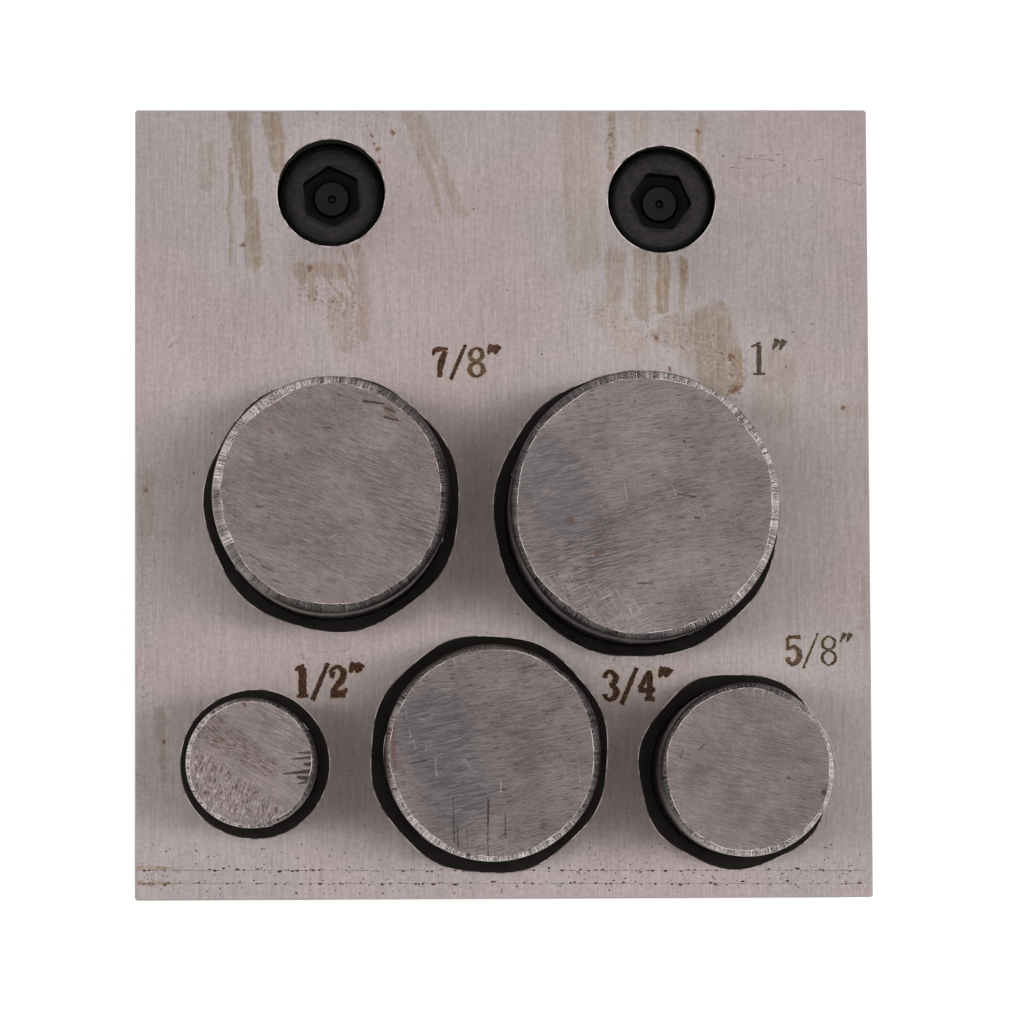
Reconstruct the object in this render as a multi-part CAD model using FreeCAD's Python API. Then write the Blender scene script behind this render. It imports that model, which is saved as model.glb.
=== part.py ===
import FreeCAD, Part

import math
import os

from FreeCAD import Vector

# Jewelers disc cutter. A guide plate stands over a die plate, with a thin slot between them that is
# open at the front and at both sides. A spacer strip along the back edge keeps the slot open, two
# dowel pins line the plates up, and two socket head cap screws clamp the stack. Five plain round
# punches drop through the guide plate, across the slot and into matching bores in the die plate.
#
# Millimetres. The origin is the centre of the base, on the surface that the cutter stands on.
# +X is to the user's right, +Y points to the back, where the screws are, and +Z is up.

# Plates and slot
PLATE_WIDTH = 70.0
PLATE_DEPTH = 75.3
DIE_THICKNESS = 12.0
SLOT_HEIGHT = 1.5
GUIDE_THICKNESS = 12.0
EDGE_BREAK = 0.2
CORNER_BREAK = 0.2
SPACER_DEPTH = 16.0

# Levels, from the base up
SLOT_FLOOR = DIE_THICKNESS
SLOT_ROOF = SLOT_FLOOR + SLOT_HEIGHT
TOP = SLOT_ROOF + GUIDE_THICKNESS

# Punches: name, diameter, centre x and y, width of the bevel ground round the struck end, and width
# of the chamfer round the mouth of the guide bore
PUNCHES = (
    ("half_inch_punch", 12.0, -23.65, -24.80, 0.35, 1.0),
    ("five_eighths_punch", 16.0, 22.05, -25.60, 0.50, 1.2),
    ("three_quarter_punch", 20.0, -1.40, -23.95, 0.55, 1.2),
    ("seven_eighths_punch", 22.0, -16.25, -0.10, 0.80, 1.0),
    ("one_inch_punch", 25.0, 12.75, -1.15, 0.65, 1.0),
)
PUNCH_LENGTH = 40.0
BEVEL_STEEPNESS = 1.3
BORE_CLEARANCE = 0.05
DIE_UNDERSIDE_CHAMFER = 0.6

# M6 socket head cap screws: name, centre x and y, depth of the head's seat, turn of the hexagon
SCREWS = (
    ("left_cap_screw", -16.30, 29.70, 8.6, 95.0),
    ("right_cap_screw", 15.30, 29.05, 7.4, -6.0),
)
SCREW_DIAMETER = 6.0
SCREW_LENGTH = 16.0
SCREW_END_CHAMFER = 0.7
HEAD_DIAMETER = 10.0
HEAD_HEIGHT = 6.0
HEAD_CHAMFER = 0.45
SOCKET_ACROSS_FLATS = 5.0
SOCKET_DEPTH = 3.0
SOCKET_MOUTH_DIAMETER = 6.4
COUNTERBORE_DIAMETER = 10.3
CLEARANCE_HOLE_DIAMETER = 6.6
TAPPED_HOLE_DIAMETER = 6.05
TAPPED_HOLE_CHAMFER = 0.5

# Dowel pins, pressed into blind holes in the die plate and a slip fit in the guide plate
DOWELS = (
    ("left_dowel_pin", -29.5, 29.4),
    ("right_dowel_pin", 29.5, 29.4),
)
DOWEL_DIAMETER = 5.0
DOWEL_LENGTH = 14.0
DOWEL_CHAMFER = 0.5
DOWEL_IN_DIE = 7.0
DOWEL_HOLE_DIAMETER = 5.02
DOWEL_HOLE_SPARE_DEPTH = 1.0

OVERCUT = 1.0
UP = Vector(0, 0, 1)


def turned(profile, x, y):
    """A solid of revolution about the vertical line through x, y, from (radius, height) points."""
    corners = [Vector(x + radius, y, height) for radius, height in profile]
    outline = Part.makePolygon(corners + corners[:1])
    return Part.Face(outline).revolve(Vector(x, y, 0), UP, 360)


def upright_hole(diameter, bottom, top, x, y):
    """The tool for a plain round hole between two heights."""
    return Part.makeCylinder(diameter / 2, top - bottom, Vector(x, y, bottom), UP)


def countersink(hole_diameter, width, face, side, x, y):
    """The tool for a 45 degree countersink; side is 1 on an upper face and -1 on a lower one."""
    radius = hole_diameter / 2
    profile = (
        (0, face - side * width),
        (radius, face - side * width),
        (radius + width + OVERCUT, face + side * OVERCUT),
        (0, face + side * OVERCUT),
    )
    return turned(profile, x, y)


def ground_slab(width, depth, bottom, thickness, y_centre):
    """A rectangular slab with broken corners and lightly broken edges above and below."""
    corner = Vector(-width / 2, y_centre - depth / 2, bottom)
    slab = Part.makeBox(width, depth, thickness, corner)
    uprights = [edge for edge in slab.Edges if abs(edge.tangentAt(edge.FirstParameter).z) > 0.5]
    slab = slab.makeChamfer(CORNER_BREAK, uprights)
    rims = [edge for edge in slab.Edges if abs(edge.tangentAt(edge.FirstParameter).z) < 0.5]
    return slab.makeChamfer(EDGE_BREAK, rims)


def guide_plate():
    """Upper plate: chamfered guide bores, counterbored screw holes and blind dowel holes below."""
    plate = ground_slab(PLATE_WIDTH, PLATE_DEPTH, SLOT_ROOF, GUIDE_THICKNESS, 0)
    tools = []
    for _, diameter, x, y, _, mouth_chamfer in PUNCHES:
        bore = diameter + 2 * BORE_CLEARANCE
        tools.append(upright_hole(bore, SLOT_ROOF - OVERCUT, TOP + OVERCUT, x, y))
        tools.append(countersink(bore, mouth_chamfer, TOP, 1, x, y))
    for _, x, y, seat_depth, _ in SCREWS:
        tools.append(upright_hole(CLEARANCE_HOLE_DIAMETER, SLOT_ROOF - OVERCUT, TOP, x, y))
        tools.append(upright_hole(COUNTERBORE_DIAMETER, TOP - seat_depth, TOP + OVERCUT, x, y))
    for _, x, y in DOWELS:
        depth = DOWEL_LENGTH - DOWEL_IN_DIE - SLOT_HEIGHT + DOWEL_HOLE_SPARE_DEPTH
        hole = upright_hole(DOWEL_HOLE_DIAMETER, SLOT_ROOF - OVERCUT, SLOT_ROOF + depth, x, y)
        tools.append(hole)
    return plate.cut(tools)


def die_plate():
    """Lower plate: sharp-edged die bores, tapped holes for the screws and blind dowel holes."""
    plate = ground_slab(PLATE_WIDTH, PLATE_DEPTH, 0, DIE_THICKNESS, 0)
    tools = []
    for _, diameter, x, y, _, _ in PUNCHES:
        bore = diameter + 2 * BORE_CLEARANCE
        tools.append(upright_hole(bore, -OVERCUT, DIE_THICKNESS + OVERCUT, x, y))
        tools.append(countersink(bore, DIE_UNDERSIDE_CHAMFER, 0, -1, x, y))
    for _, x, y, _, _ in SCREWS:
        tools.append(upright_hole(TAPPED_HOLE_DIAMETER, -OVERCUT, DIE_THICKNESS + OVERCUT, x, y))
        tools.append(countersink(TAPPED_HOLE_DIAMETER, TAPPED_HOLE_CHAMFER, DIE_THICKNESS, 1, x, y))
        tools.append(countersink(TAPPED_HOLE_DIAMETER, TAPPED_HOLE_CHAMFER, 0, -1, x, y))
    for _, x, y in DOWELS:
        hole_bottom = DIE_THICKNESS - DOWEL_IN_DIE - DOWEL_HOLE_SPARE_DEPTH
        hole = upright_hole(DOWEL_HOLE_DIAMETER, hole_bottom, DIE_THICKNESS + OVERCUT, x, y)
        tools.append(hole)
    return plate.cut(tools)


def spacer_strip():
    """Strip along the back edge, as thick as the slot, with holes for the screws and dowels."""
    y_centre = (PLATE_DEPTH - SPACER_DEPTH) / 2
    strip = ground_slab(PLATE_WIDTH, SPACER_DEPTH, SLOT_FLOOR, SLOT_HEIGHT, y_centre)
    below, above = SLOT_FLOOR - OVERCUT, SLOT_ROOF + OVERCUT
    tools = [upright_hole(CLEARANCE_HOLE_DIAMETER, below, above, x, y) for _, x, y, _, _ in SCREWS]
    tools += [upright_hole(DOWEL_HOLE_DIAMETER, below, above, x, y) for _, x, y in DOWELS]
    return strip.cut(tools)


def hex_socket(top, turn, x, y):
    """The tool for a screw's hexagon socket: chamfered mouth, six flats and a flat floor."""
    corner_radius = SOCKET_ACROSS_FLATS / 2 / math.cos(math.pi / 6)
    floor = top - SOCKET_DEPTH
    corners = []
    for number in range(6):
        angle = math.radians(turn + 60 * number)
        corners.append(Vector(corner_radius * math.cos(angle), corner_radius * math.sin(angle), 0))
    hexagon = Part.Face(Part.makePolygon(corners + corners[:1]))
    hexagon.translate(Vector(x, y, floor))
    prism = hexagon.extrude(Vector(0, 0, SOCKET_DEPTH + OVERCUT))
    mouth_depth = (SOCKET_MOUTH_DIAMETER - SOCKET_ACROSS_FLATS) / 2
    mouth = countersink(SOCKET_ACROSS_FLATS, mouth_depth, top, 1, x, y)
    return prism.fuse(mouth)


def cap_screw(x, y, seat_depth, turn):
    """Socket head cap screw with a chamfered head rim and a chamfered end."""
    seat = TOP - seat_depth
    head_top = seat + HEAD_HEIGHT
    end = seat - SCREW_LENGTH
    head_radius = HEAD_DIAMETER / 2
    shank_radius = SCREW_DIAMETER / 2
    profile = (
        (0, end),
        (shank_radius - SCREW_END_CHAMFER, end),
        (shank_radius, end + SCREW_END_CHAMFER),
        (shank_radius, seat),
        (head_radius, seat),
        (head_radius, head_top - HEAD_CHAMFER),
        (head_radius - HEAD_CHAMFER, head_top),
        (0, head_top),
    )
    return turned(profile, x, y).cut(hex_socket(head_top, turn, x, y))


def dowel_pin(x, y):
    """Plain ground pin with both ends chamfered."""
    bottom = DIE_THICKNESS - DOWEL_IN_DIE
    top = bottom + DOWEL_LENGTH
    radius = DOWEL_DIAMETER / 2
    profile = (
        (0, bottom),
        (radius - DOWEL_CHAMFER, bottom),
        (radius, bottom + DOWEL_CHAMFER),
        (radius, top - DOWEL_CHAMFER),
        (radius - DOWEL_CHAMFER, top),
        (0, top),
    )
    return turned(profile, x, y)


def punch(diameter, x, y, bevel):
    """Round punch standing on the base: sharp cutting end below, bevelled struck end above."""
    radius = diameter / 2
    profile = (
        (0, 0),
        (radius, 0),
        (radius, PUNCH_LENGTH - BEVEL_STEEPNESS * bevel),
        (radius - bevel, PUNCH_LENGTH),
        (0, PUNCH_LENGTH),
    )
    return turned(profile, x, y)


def all_parts():
    """Every sub-part by the name of its node."""
    parts = {
        "guide_plate": guide_plate(),
        "die_plate": die_plate(),
        "spacer_strip": spacer_strip(),
    }
    for name, x, y, seat_depth, turn in SCREWS:
        parts[name] = cap_screw(x, y, seat_depth, turn)
    for name, x, y in DOWELS:
        parts[name] = dowel_pin(x, y)
    for name, diameter, x, y, bevel, _ in PUNCHES:
        parts[name] = punch(diameter, x, y, bevel)
    return parts


os.makedirs("parts", exist_ok=True)
for node, shape in all_parts().items():
    solid = shape.Solids[0]
    print(node, "solids", len(shape.Solids), "valid", solid.isValid(), "mm3", round(solid.Volume))
    solid.exportStep("parts/" + node + ".step")
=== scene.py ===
import math
import random

import bmesh
import bpy
from mathutils import Euler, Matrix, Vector, noise
from mathutils.geometry import delaunay_2d_cdt


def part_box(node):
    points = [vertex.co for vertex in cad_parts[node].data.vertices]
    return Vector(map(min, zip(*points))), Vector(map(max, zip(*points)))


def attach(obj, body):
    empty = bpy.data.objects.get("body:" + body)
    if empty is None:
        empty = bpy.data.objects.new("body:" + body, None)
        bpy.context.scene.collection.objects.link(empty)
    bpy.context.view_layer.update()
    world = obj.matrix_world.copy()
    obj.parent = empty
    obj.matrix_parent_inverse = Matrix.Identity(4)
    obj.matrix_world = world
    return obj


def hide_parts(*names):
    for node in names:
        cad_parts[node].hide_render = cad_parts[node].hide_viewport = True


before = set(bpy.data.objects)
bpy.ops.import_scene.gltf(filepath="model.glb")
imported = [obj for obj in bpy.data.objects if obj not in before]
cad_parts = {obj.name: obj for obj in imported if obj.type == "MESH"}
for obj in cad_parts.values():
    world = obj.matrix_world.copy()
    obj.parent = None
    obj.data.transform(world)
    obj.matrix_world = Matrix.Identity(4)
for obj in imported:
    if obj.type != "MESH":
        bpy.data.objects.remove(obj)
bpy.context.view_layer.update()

# Looks of a jewelers disc cutter: two ground steel plates with a thin sheet slot between them, two
# black cap screws and five round punches. Lengths are written in millimetres and turned into metres
# where a mesh, a lamp or the camera is made. +X is right, +Y is the back and +Z is up.

MM = 0.001

PUNCH_NODES = (
    "half_inch_punch",
    "five_eighths_punch",
    "three_quarter_punch",
    "seven_eighths_punch",
    "one_inch_punch",
)
SCREW_NODES = ("left_cap_screw", "right_cap_screw")
DOWEL_NODES = ("left_dowel_pin", "right_dowel_pin")


def node_box(node):
    """Lowest and highest corner of a node, in millimetres."""
    low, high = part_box(node)
    return low / MM, high / MM


def axis_of(node):
    """Centre in plan of a round upright node, in millimetres."""
    low, high = node_box(node)
    return Vector(((low.x + high.x) / 2, (low.y + high.y) / 2))


def width_of(node):
    low, high = node_box(node)
    return high.x - low.x


GUIDE_LOW, GUIDE_HIGH = node_box("guide_plate")
TOP = GUIDE_HIGH.z
SLOT_ROOF = GUIDE_LOW.z


# --------------------------------------------------------------------------------------------------
# Node trees
# --------------------------------------------------------------------------------------------------


class Tree:
    """Short calls for building a shader or geometry tree."""

    def __init__(self, tree):
        self.tree = tree

    def add(self, kind, **settings):
        node = self.tree.nodes.new(kind)
        for name, value in settings.items():
            setattr(node, name, value)
        return node

    def feed(self, socket, value):
        """Links an output socket to an input, or sets the input's own value."""
        if isinstance(value, bpy.types.NodeSocket):
            self.tree.links.new(value, socket)
        elif value is not None:
            socket.default_value = value

    def math(self, operation, *values, clamp=False):
        node = self.add("ShaderNodeMath", operation=operation, use_clamp=clamp)
        for socket, value in zip(node.inputs, values):
            self.feed(socket, value)
        return node.outputs[0]

    def plus(self, a, b):
        return self.math("ADD", a, b)

    def minus(self, a, b):
        return self.math("SUBTRACT", a, b)

    def times(self, a, b):
        return self.math("MULTIPLY", a, b)

    def over(self, a, b, clamp=False):
        return self.math("DIVIDE", a, b, clamp=clamp)

    def larger(self, a, b):
        return self.math("MAXIMUM", a, b)

    def smaller(self, a, b):
        return self.math("MINIMUM", a, b)

    def whole(self, operation, a, b):
        node = self.add("FunctionNodeIntegerMath", operation=operation)
        self.feed(node.inputs[0], a)
        self.feed(node.inputs[1], b)
        return node.outputs[0]

    def vector_math(self, operation, a, b=None):
        node = self.add("ShaderNodeVectorMath", operation=operation)
        self.feed(node.inputs[0], a)
        if operation == "SCALE":
            self.feed(node.inputs["Scale"], b)
        elif b is not None:
            self.feed(node.inputs[1], b)
        return node.outputs["Value" if operation in ("LENGTH", "DOT_PRODUCT") else "Vector"]

    def combine(self, x=0.0, y=0.0, z=0.0):
        node = self.add("ShaderNodeCombineXYZ")
        for socket, value in zip(node.inputs, (x, y, z)):
            self.feed(socket, value)
        return node.outputs[0]

    def separate(self, vector):
        node = self.add("ShaderNodeSeparateXYZ")
        self.feed(node.inputs[0], vector)
        return node.outputs

    def flat(self, vector):
        """The position straight below on the ground."""
        x, y, _ = self.separate(vector)
        return self.combine(x, y)

    def remap(self, value, low, high, to_low=0.0, to_high=1.0, smooth=True):
        node = self.add("ShaderNodeMapRange")
        node.interpolation_type = "SMOOTHSTEP" if smooth else "LINEAR"
        for name, given in (
            ("Value", value),
            ("From Min", low),
            ("From Max", high),
            ("To Min", to_low),
            ("To Max", to_high),
        ):
            self.feed(node.inputs[name], given)
        return node.outputs[0]

    def turn(self, vector, angle):
        """Turns a position about Z, so that a pattern along Y leans over by the angle."""
        node = self.add("ShaderNodeVectorRotate", rotation_type="Z_AXIS")
        self.feed(node.inputs["Vector"], vector)
        self.feed(node.inputs["Angle"], angle)
        return node.outputs[0]

    def noise(self, vector, scale=1.0, detail=2.0, rough=0.5):
        """Noise as a value and as three values in a colour."""
        node = self.add("ShaderNodeTexNoise")
        self.feed(node.inputs["Vector"], vector)
        self.feed(node.inputs["Scale"], scale)
        self.feed(node.inputs["Detail"], detail)
        self.feed(node.inputs["Roughness"], rough)
        return node.outputs

    def blend(self, factor, a, b, kind="MIX"):
        node = self.add("ShaderNodeMix", data_type="RGBA", blend_type=kind, clamp_factor=True)
        self.feed(node.inputs["Factor"], factor)
        self.feed(node.inputs[6], a)
        self.feed(node.inputs[7], b)
        return node.outputs[2]

    def group(self, group, **values):
        """Places a node group and feeds its named inputs; underscores stand for spaces."""
        kind = "GeometryNodeGroup" if group.bl_idname == "GeometryNodeTree" else "ShaderNodeGroup"
        node = self.add(kind, node_tree=group)
        for name, value in values.items():
            self.feed(node.inputs[name.replace("_", " ")], value)
        return node.outputs

    def shape(self, kind, geometry, **values):
        """
        A geometry node that takes one geometry in and gives one out. Values in lower case are its
        settings, and the others its inputs, where underscores stand for spaces.
        """
        settings = {name: value for name, value in values.items() if name.islower()}
        node = self.add(kind, **settings)
        self.feed(node.inputs[0], geometry)
        for name, value in values.items():
            if not name.islower():
                self.feed(node.inputs[name.replace("_", " ")], value)
        return node.outputs["Geometry"]

    def pick(self, index, values):
        """One of the values by its number."""
        node = self.add("GeometryNodeIndexSwitch", data_type="FLOAT")
        while len(node.index_switch_items) < len(values):
            node.index_switch_items.new()
        self.feed(node.inputs["Index"], index)
        for number, value in enumerate(values):
            self.feed(node.inputs[number + 1], value)
        return node.outputs[0]


SOCKET_KINDS = {float: "NodeSocketFloat", int: "NodeSocketInt", tuple: "NodeSocketVector"}


def new_group(name, kind, inputs, outputs):
    """A node group with named inputs, each with its default or its kind of socket, and outputs."""
    group = bpy.data.node_groups.new(name, kind)
    for label, value in inputs.items():
        given_kind = isinstance(value, str)
        socket_type = value if given_kind else SOCKET_KINDS[type(value)]
        socket = group.interface.new_socket(label, in_out="INPUT", socket_type=socket_type)
        if not given_kind:
            socket.default_value = value
    for label, socket_type in outputs.items():
        group.interface.new_socket(label, in_out="OUTPUT", socket_type=socket_type)
    tree = Tree(group)
    return group, tree, tree.add("NodeGroupInput").outputs, tree.add("NodeGroupOutput").inputs


# --------------------------------------------------------------------------------------------------
# Shader groups. Position is always in millimetres.
# --------------------------------------------------------------------------------------------------


def make_grain_group():
    """Fine grinding lines that run along Y when Turn is 0."""
    group, t, given, out = new_group(
        "grinding_grain",
        "ShaderNodeTree",
        {"Position": (0.0, 0.0, 0.0), "Turn": 0.0, "Lines": 6.0, "Run": 6.0},
        {"Shade": "NodeSocketFloat"},
    )
    turned = t.turn(given["Position"], given["Turn"])
    x, y, z = t.separate(turned)
    across = t.times(x, given["Lines"])
    along = t.over(y, given["Run"])
    coarse = t.noise(t.combine(across, along, z), detail=3.0, rough=0.65)[0]
    fine_across = t.times(across, 3.1)
    fine_along = t.times(along, 2.3)
    fine = t.noise(t.combine(fine_across, fine_along, z), detail=2.0, rough=0.6)[0]
    both = t.plus(t.times(coarse, 0.6), t.times(fine, 0.4))
    t.feed(out["Shade"], both)
    return group


def make_streak_group():
    """A tapered streak between two points; where they are the same it is a round spot."""
    group, t, given, out = new_group(
        "tapered_streak",
        "ShaderNodeTree",
        {
            "Position": (0.0, 0.0, 0.0),
            "Start": (0.0, 0.0, 0.0),
            "End": (0.0, 1.0, 0.0),
            "Start Width": 1.0,
            "End Width": 1.0,
            "Softness": 0.3,
        },
        {"Mask": "NodeSocketFloat", "Rim": "NodeSocketFloat"},
    )
    run = t.vector_math("SUBTRACT", given["End"], given["Start"])
    reach = t.vector_math("SUBTRACT", given["Position"], given["Start"])
    length_squared = t.larger(t.vector_math("DOT_PRODUCT", run, run), 1e-4)
    share = t.over(t.vector_math("DOT_PRODUCT", reach, run), length_squared, clamp=True)
    nearest = t.vector_math("SCALE", run, share)
    distance = t.vector_math("LENGTH", t.vector_math("SUBTRACT", reach, nearest))
    width = t.remap(share, 0.0, 1.0, given["Start Width"], given["End Width"], smooth=False)
    edge = t.over(t.times(distance, 2.0), width)
    outer = t.plus(1.0, given["Softness"])
    inner = t.minus(1.0, given["Softness"])
    t.feed(out["Mask"], t.remap(edge, outer, inner))
    t.feed(out["Rim"], t.remap(t.math("ABSOLUTE", t.minus(edge, inner)), 0.16, 0.0))
    return group


def make_speck_group():
    """Scattered round specks, one at most in each cell of the given spacing."""
    group, t, given, out = new_group(
        "specks",
        "ShaderNodeTree",
        {"Position": (0.0, 0.0, 0.0), "Spacing": 1.0, "Size": 0.1, "Share": 0.3},
        {"Mask": "NodeSocketFloat"},
    )
    cells = t.add("ShaderNodeTexVoronoi", voronoi_dimensions="2D", feature="F1")
    t.feed(cells.inputs["Vector"], given["Position"])
    t.feed(cells.inputs["Scale"], t.over(1.0, given["Spacing"]))
    pick, size, _ = t.separate(cells.outputs["Color"])
    radius = t.over(given["Size"], given["Spacing"])
    radius = t.times(radius, t.plus(0.35, size))
    spot = t.remap(cells.outputs["Distance"], radius, t.times(radius, 0.45))
    chosen = t.math("LESS_THAN", pick, given["Share"])
    t.feed(out["Mask"], t.times(spot, chosen))
    return group


def make_scratch_group():
    """Single long scratches that run along Y when Turn is 0, thinned out by Rarity."""
    group, t, given, out = new_group(
        "scratches",
        "ShaderNodeTree",
        {"Position": (0.0, 0.0, 0.0), "Turn": 0.0, "Lines": 5.0, "Run": 4.0, "Rarity": 0.7},
        {"Mask": "NodeSocketFloat"},
    )
    x, y, z = t.separate(t.turn(given["Position"], given["Turn"]))
    bend = t.times(t.noise(given["Position"], scale=0.2, detail=1.0)[0], 0.6)
    across = t.times(t.plus(x, bend), given["Lines"])
    along = t.over(y, given["Run"])
    lines = t.noise(t.combine(across, along, z), detail=1.0, rough=0.4)[0]
    top = t.plus(given["Rarity"], 0.05)
    t.feed(out["Mask"], t.remap(lines, given["Rarity"], top))
    return group


def make_wander_group():
    """Position moved about by noise, which makes the edge of a stain ragged."""
    group, t, given, out = new_group(
        "ragged_position",
        "ShaderNodeTree",
        {"Position": (0.0, 0.0, 0.0), "Broad": 0.8, "Fine": 0.3},
        {"Position": "NodeSocketVector"},
    )
    moved = flat = t.flat(given["Position"])
    for scale, amount in ((0.4, given["Broad"]), (2.5, given["Fine"])):
        shift = t.noise(flat, scale=scale, detail=3.0, rough=0.6)["Color"]
        shift = t.vector_math("SUBTRACT", shift, (0.5, 0.5, 0.5))
        moved = t.vector_math("ADD", moved, t.vector_math("SCALE", shift, amount))
    t.feed(out["Position"], t.flat(moved))
    return group


GRAIN = make_grain_group()
STREAK = make_streak_group()
SPECKS = make_speck_group()
SCRATCHES = make_scratch_group()
WANDER = make_wander_group()


def new_material(name):
    """A material with its tree, its Principled shader and its position in millimetres."""
    material = bpy.data.materials.new(name)
    material.use_nodes = True
    t = Tree(material.node_tree)
    shader = material.node_tree.nodes["Principled BSDF"]
    shader.inputs["Metallic"].default_value = 1.0
    place = t.add("ShaderNodeTexCoord").outputs["Object"]
    return material, t, shader.inputs, t.vector_math("SCALE", place, 1 / MM)


def dress(t, shader, colour, roughness, height=None, depth=0.0):
    """Feeds colour and roughness, and a bump from a height of 0 to 1 with its depth in millimetres."""
    t.feed(shader["Base Color"], colour)
    t.feed(shader["Roughness"], roughness)
    if height is not None:
        node = t.add("ShaderNodeBump")
        node.inputs["Distance"].default_value = depth * MM
        t.feed(node.inputs["Height"], height)
        t.feed(shader["Normal"], node.outputs[0])


def grey(value, warm=0.0):
    """An opaque colour close to grey; warm above 0 takes out some green and blue."""
    return (value, value * (1 - warm), value * (1 - 1.1 * warm), 1.0)


def swing(t, value, amount):
    """A noise value turned into a change of up to amount either way."""
    return t.remap(value, 0.3, 0.7, -amount, amount, smooth=False)


def toned(t, colour, *changes):
    """A colour made lighter or darker by the sum of some changes."""
    tone = 1.0
    for change in changes:
        tone = t.plus(change, tone)
    return t.blend(1.0, colour, t.combine(tone, tone, tone), "MULTIPLY")


def streak_mask(t, place, start, end, start_width, end_width, softness=0.3):
    return t.group(
        STREAK,
        Position=place,
        Start=(*start, 0.0),
        End=(*end, 0.0),
        Start_Width=start_width,
        End_Width=end_width,
        Softness=softness,
    )


# Stains on the top of the guide plate: start, end, width at the start, width at the end and strength
STAINS = (
    # beside and below the left screw
    ((-25.1, 37.4), (-24.3, 30.0), 2.2, 1.2, 0.85),
    ((-22.0, 37.6), (-21.3, 32.2), 1.9, 1.3, 0.9),
    ((-23.9, 28.8), (-23.7, 23.0), 1.4, 1.6, 0.85),
    ((-25.9, 33.8), (-25.9, 23.0), 0.4, 0.4, 0.7),
    ((-28.2, 33.8), (-28.1, 30.7), 1.5, 1.5, 0.3),
    ((-9.0, 37.4), (-5.7, 27.8), 1.2, 0.5, 0.5),
    ((-7.9, 36.9), (-3.8, 27.8), 1.0, 1.2, 0.45),
    ((-19.3, 22.3), (-15.4, 22.2), 1.5, 1.3, 0.65),
    ((-18.9, 22.0), (-18.1, 19.6), 2.0, 0.9, 0.75),
    ((-17.0, 21.8), (-14.6, 19.0), 0.35, 0.3, 0.8),
    ((-15.4, 22.6), (-14.3, 19.8), 0.35, 0.3, 0.8),
    ((-15.1, 24.2), (-13.9, 20.0), 0.25, 0.25, 0.8),
    ((-13.4, 23.3), (-13.3, 16.0), 1.3, 1.4, 0.5),
    ((-13.4, 18.4), (-13.4, 17.0), 1.1, 1.0, 0.7),
    ((-15.3, 18.6), (-15.0, 15.6), 2.6, 2.6, 0.5),
    ((-13.9, 24.6), (-13.8, 23.6), 0.8, 0.4, 0.9),
    # beside and below the right screw
    ((7.3, 37.4), (7.7, 23.7), 3.4, 3.2, 0.35),
    ((8.3, 34.7), (8.1, 27.5), 1.0, 1.0, 0.35),
    ((10.6, 37.2), (10.4, 32.0), 0.8, 0.7, 0.75),
    ((13.3, 36.5), (13.5, 34.7), 1.9, 1.6, 0.3),
    ((19.2, 36.8), (18.9, 33.4), 0.9, 0.6, 0.4),
    ((18.9, 35.3), (18.8, 33.6), 0.5, 0.4, 0.7),
    ((10.8, 23.5), (10.8, 19.8), 1.9, 1.8, 0.6),
    ((13.4, 23.5), (13.4, 18.2), 1.8, 1.8, 0.65),
    ((15.4, 23.2), (15.3, 18.5), 1.5, 1.2, 0.95),
    ((17.3, 23.0), (17.2, 18.3), 1.0, 0.4, 1.0),
    # pool between the right screw and the 1 inch punch
    ((19.8, 16.4), (20.8, 12.4), 4.6, 4.6, 0.75),
    ((16.6, 16.6), (19.0, 14.6), 3.0, 4.0, 0.6),
    ((20.9, 18.8), (21.2, 16.0), 1.2, 2.4, 0.6),
    ((14.9, 15.9), (17.0, 15.6), 1.6, 2.0, 0.6),
    ((22.3, 14.4), (22.2, 11.2), 1.4, 1.4, 0.8),
    ((22.8, 14.2), (22.7, 11.2), 0.4, 0.5, 1.0),
    ((22.6, 11.0), (21.6, 10.3), 0.5, 0.4, 1.0),
    ((24.9, 15.2), (24.9, 15.2), 9.4, 9.4, 0.06),
    ((26.0, 12.4), (26.2, 9.2), 4.4, 4.4, 0.32),
    ((10.2, 18.0), (12.4, 15.4), 3.0, 3.0, 0.3),
    # left margin
    ((-33.9, 2.6), (-34.0, -2.5), 1.5, 1.2, 0.4),
    ((-32.6, -19.6), (-32.3, -26.2), 0.9, 0.6, 0.5),
    # right margin
    ((31.9, 8.8), (34.6, 8.8), 1.4, 1.4, 0.25),
    ((34.6, -7.5), (34.6, -12.5), 1.0, 1.2, 0.3),
    # left ends of the scribed lines
    ((-34.6, -34.6), (-31.6, -34.6), 0.5, 0.3, 0.8),
    ((-34.6, -36.1), (-31.2, -36.1), 0.5, 0.3, 0.8),
)
STAIN_TINT = (0.70, 0.60, 0.43, 1.0)

# Dried rim of the pool: centre, width, strength and tint
DRIED_RIM = ((24.9, 15.2), 9.4, 0.2, (0.70, 0.62, 0.50, 1.0))

# Rust spots on the top of the guide plate: centre and width
RUST_SPOTS = (
    ((-24.7, 24.7), 0.6),
    ((-10.5, 35.5), 0.5),
    ((-12.4, 35.3), 0.4),
    ((-12.2, 34.4), 0.3),
    ((-11.8, 33.9), 0.4),
    ((-11.9, 32.7), 0.4),
    ((-18.4, 22.4), 0.6),
    ((22.2, 10.7), 0.8),
    ((21.9, 13.8), 0.7),
    ((10.5, 35.3), 0.4),
    ((18.8, 35.6), 0.4),
    ((14.7, 15.8), 0.4),
    ((16.0, 12.8), 0.4),
    ((-34.0, 1.3), 0.5),
    ((-32.2, -22.6), 0.3),
    ((32.6, 8.9), 0.4),
)

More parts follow.
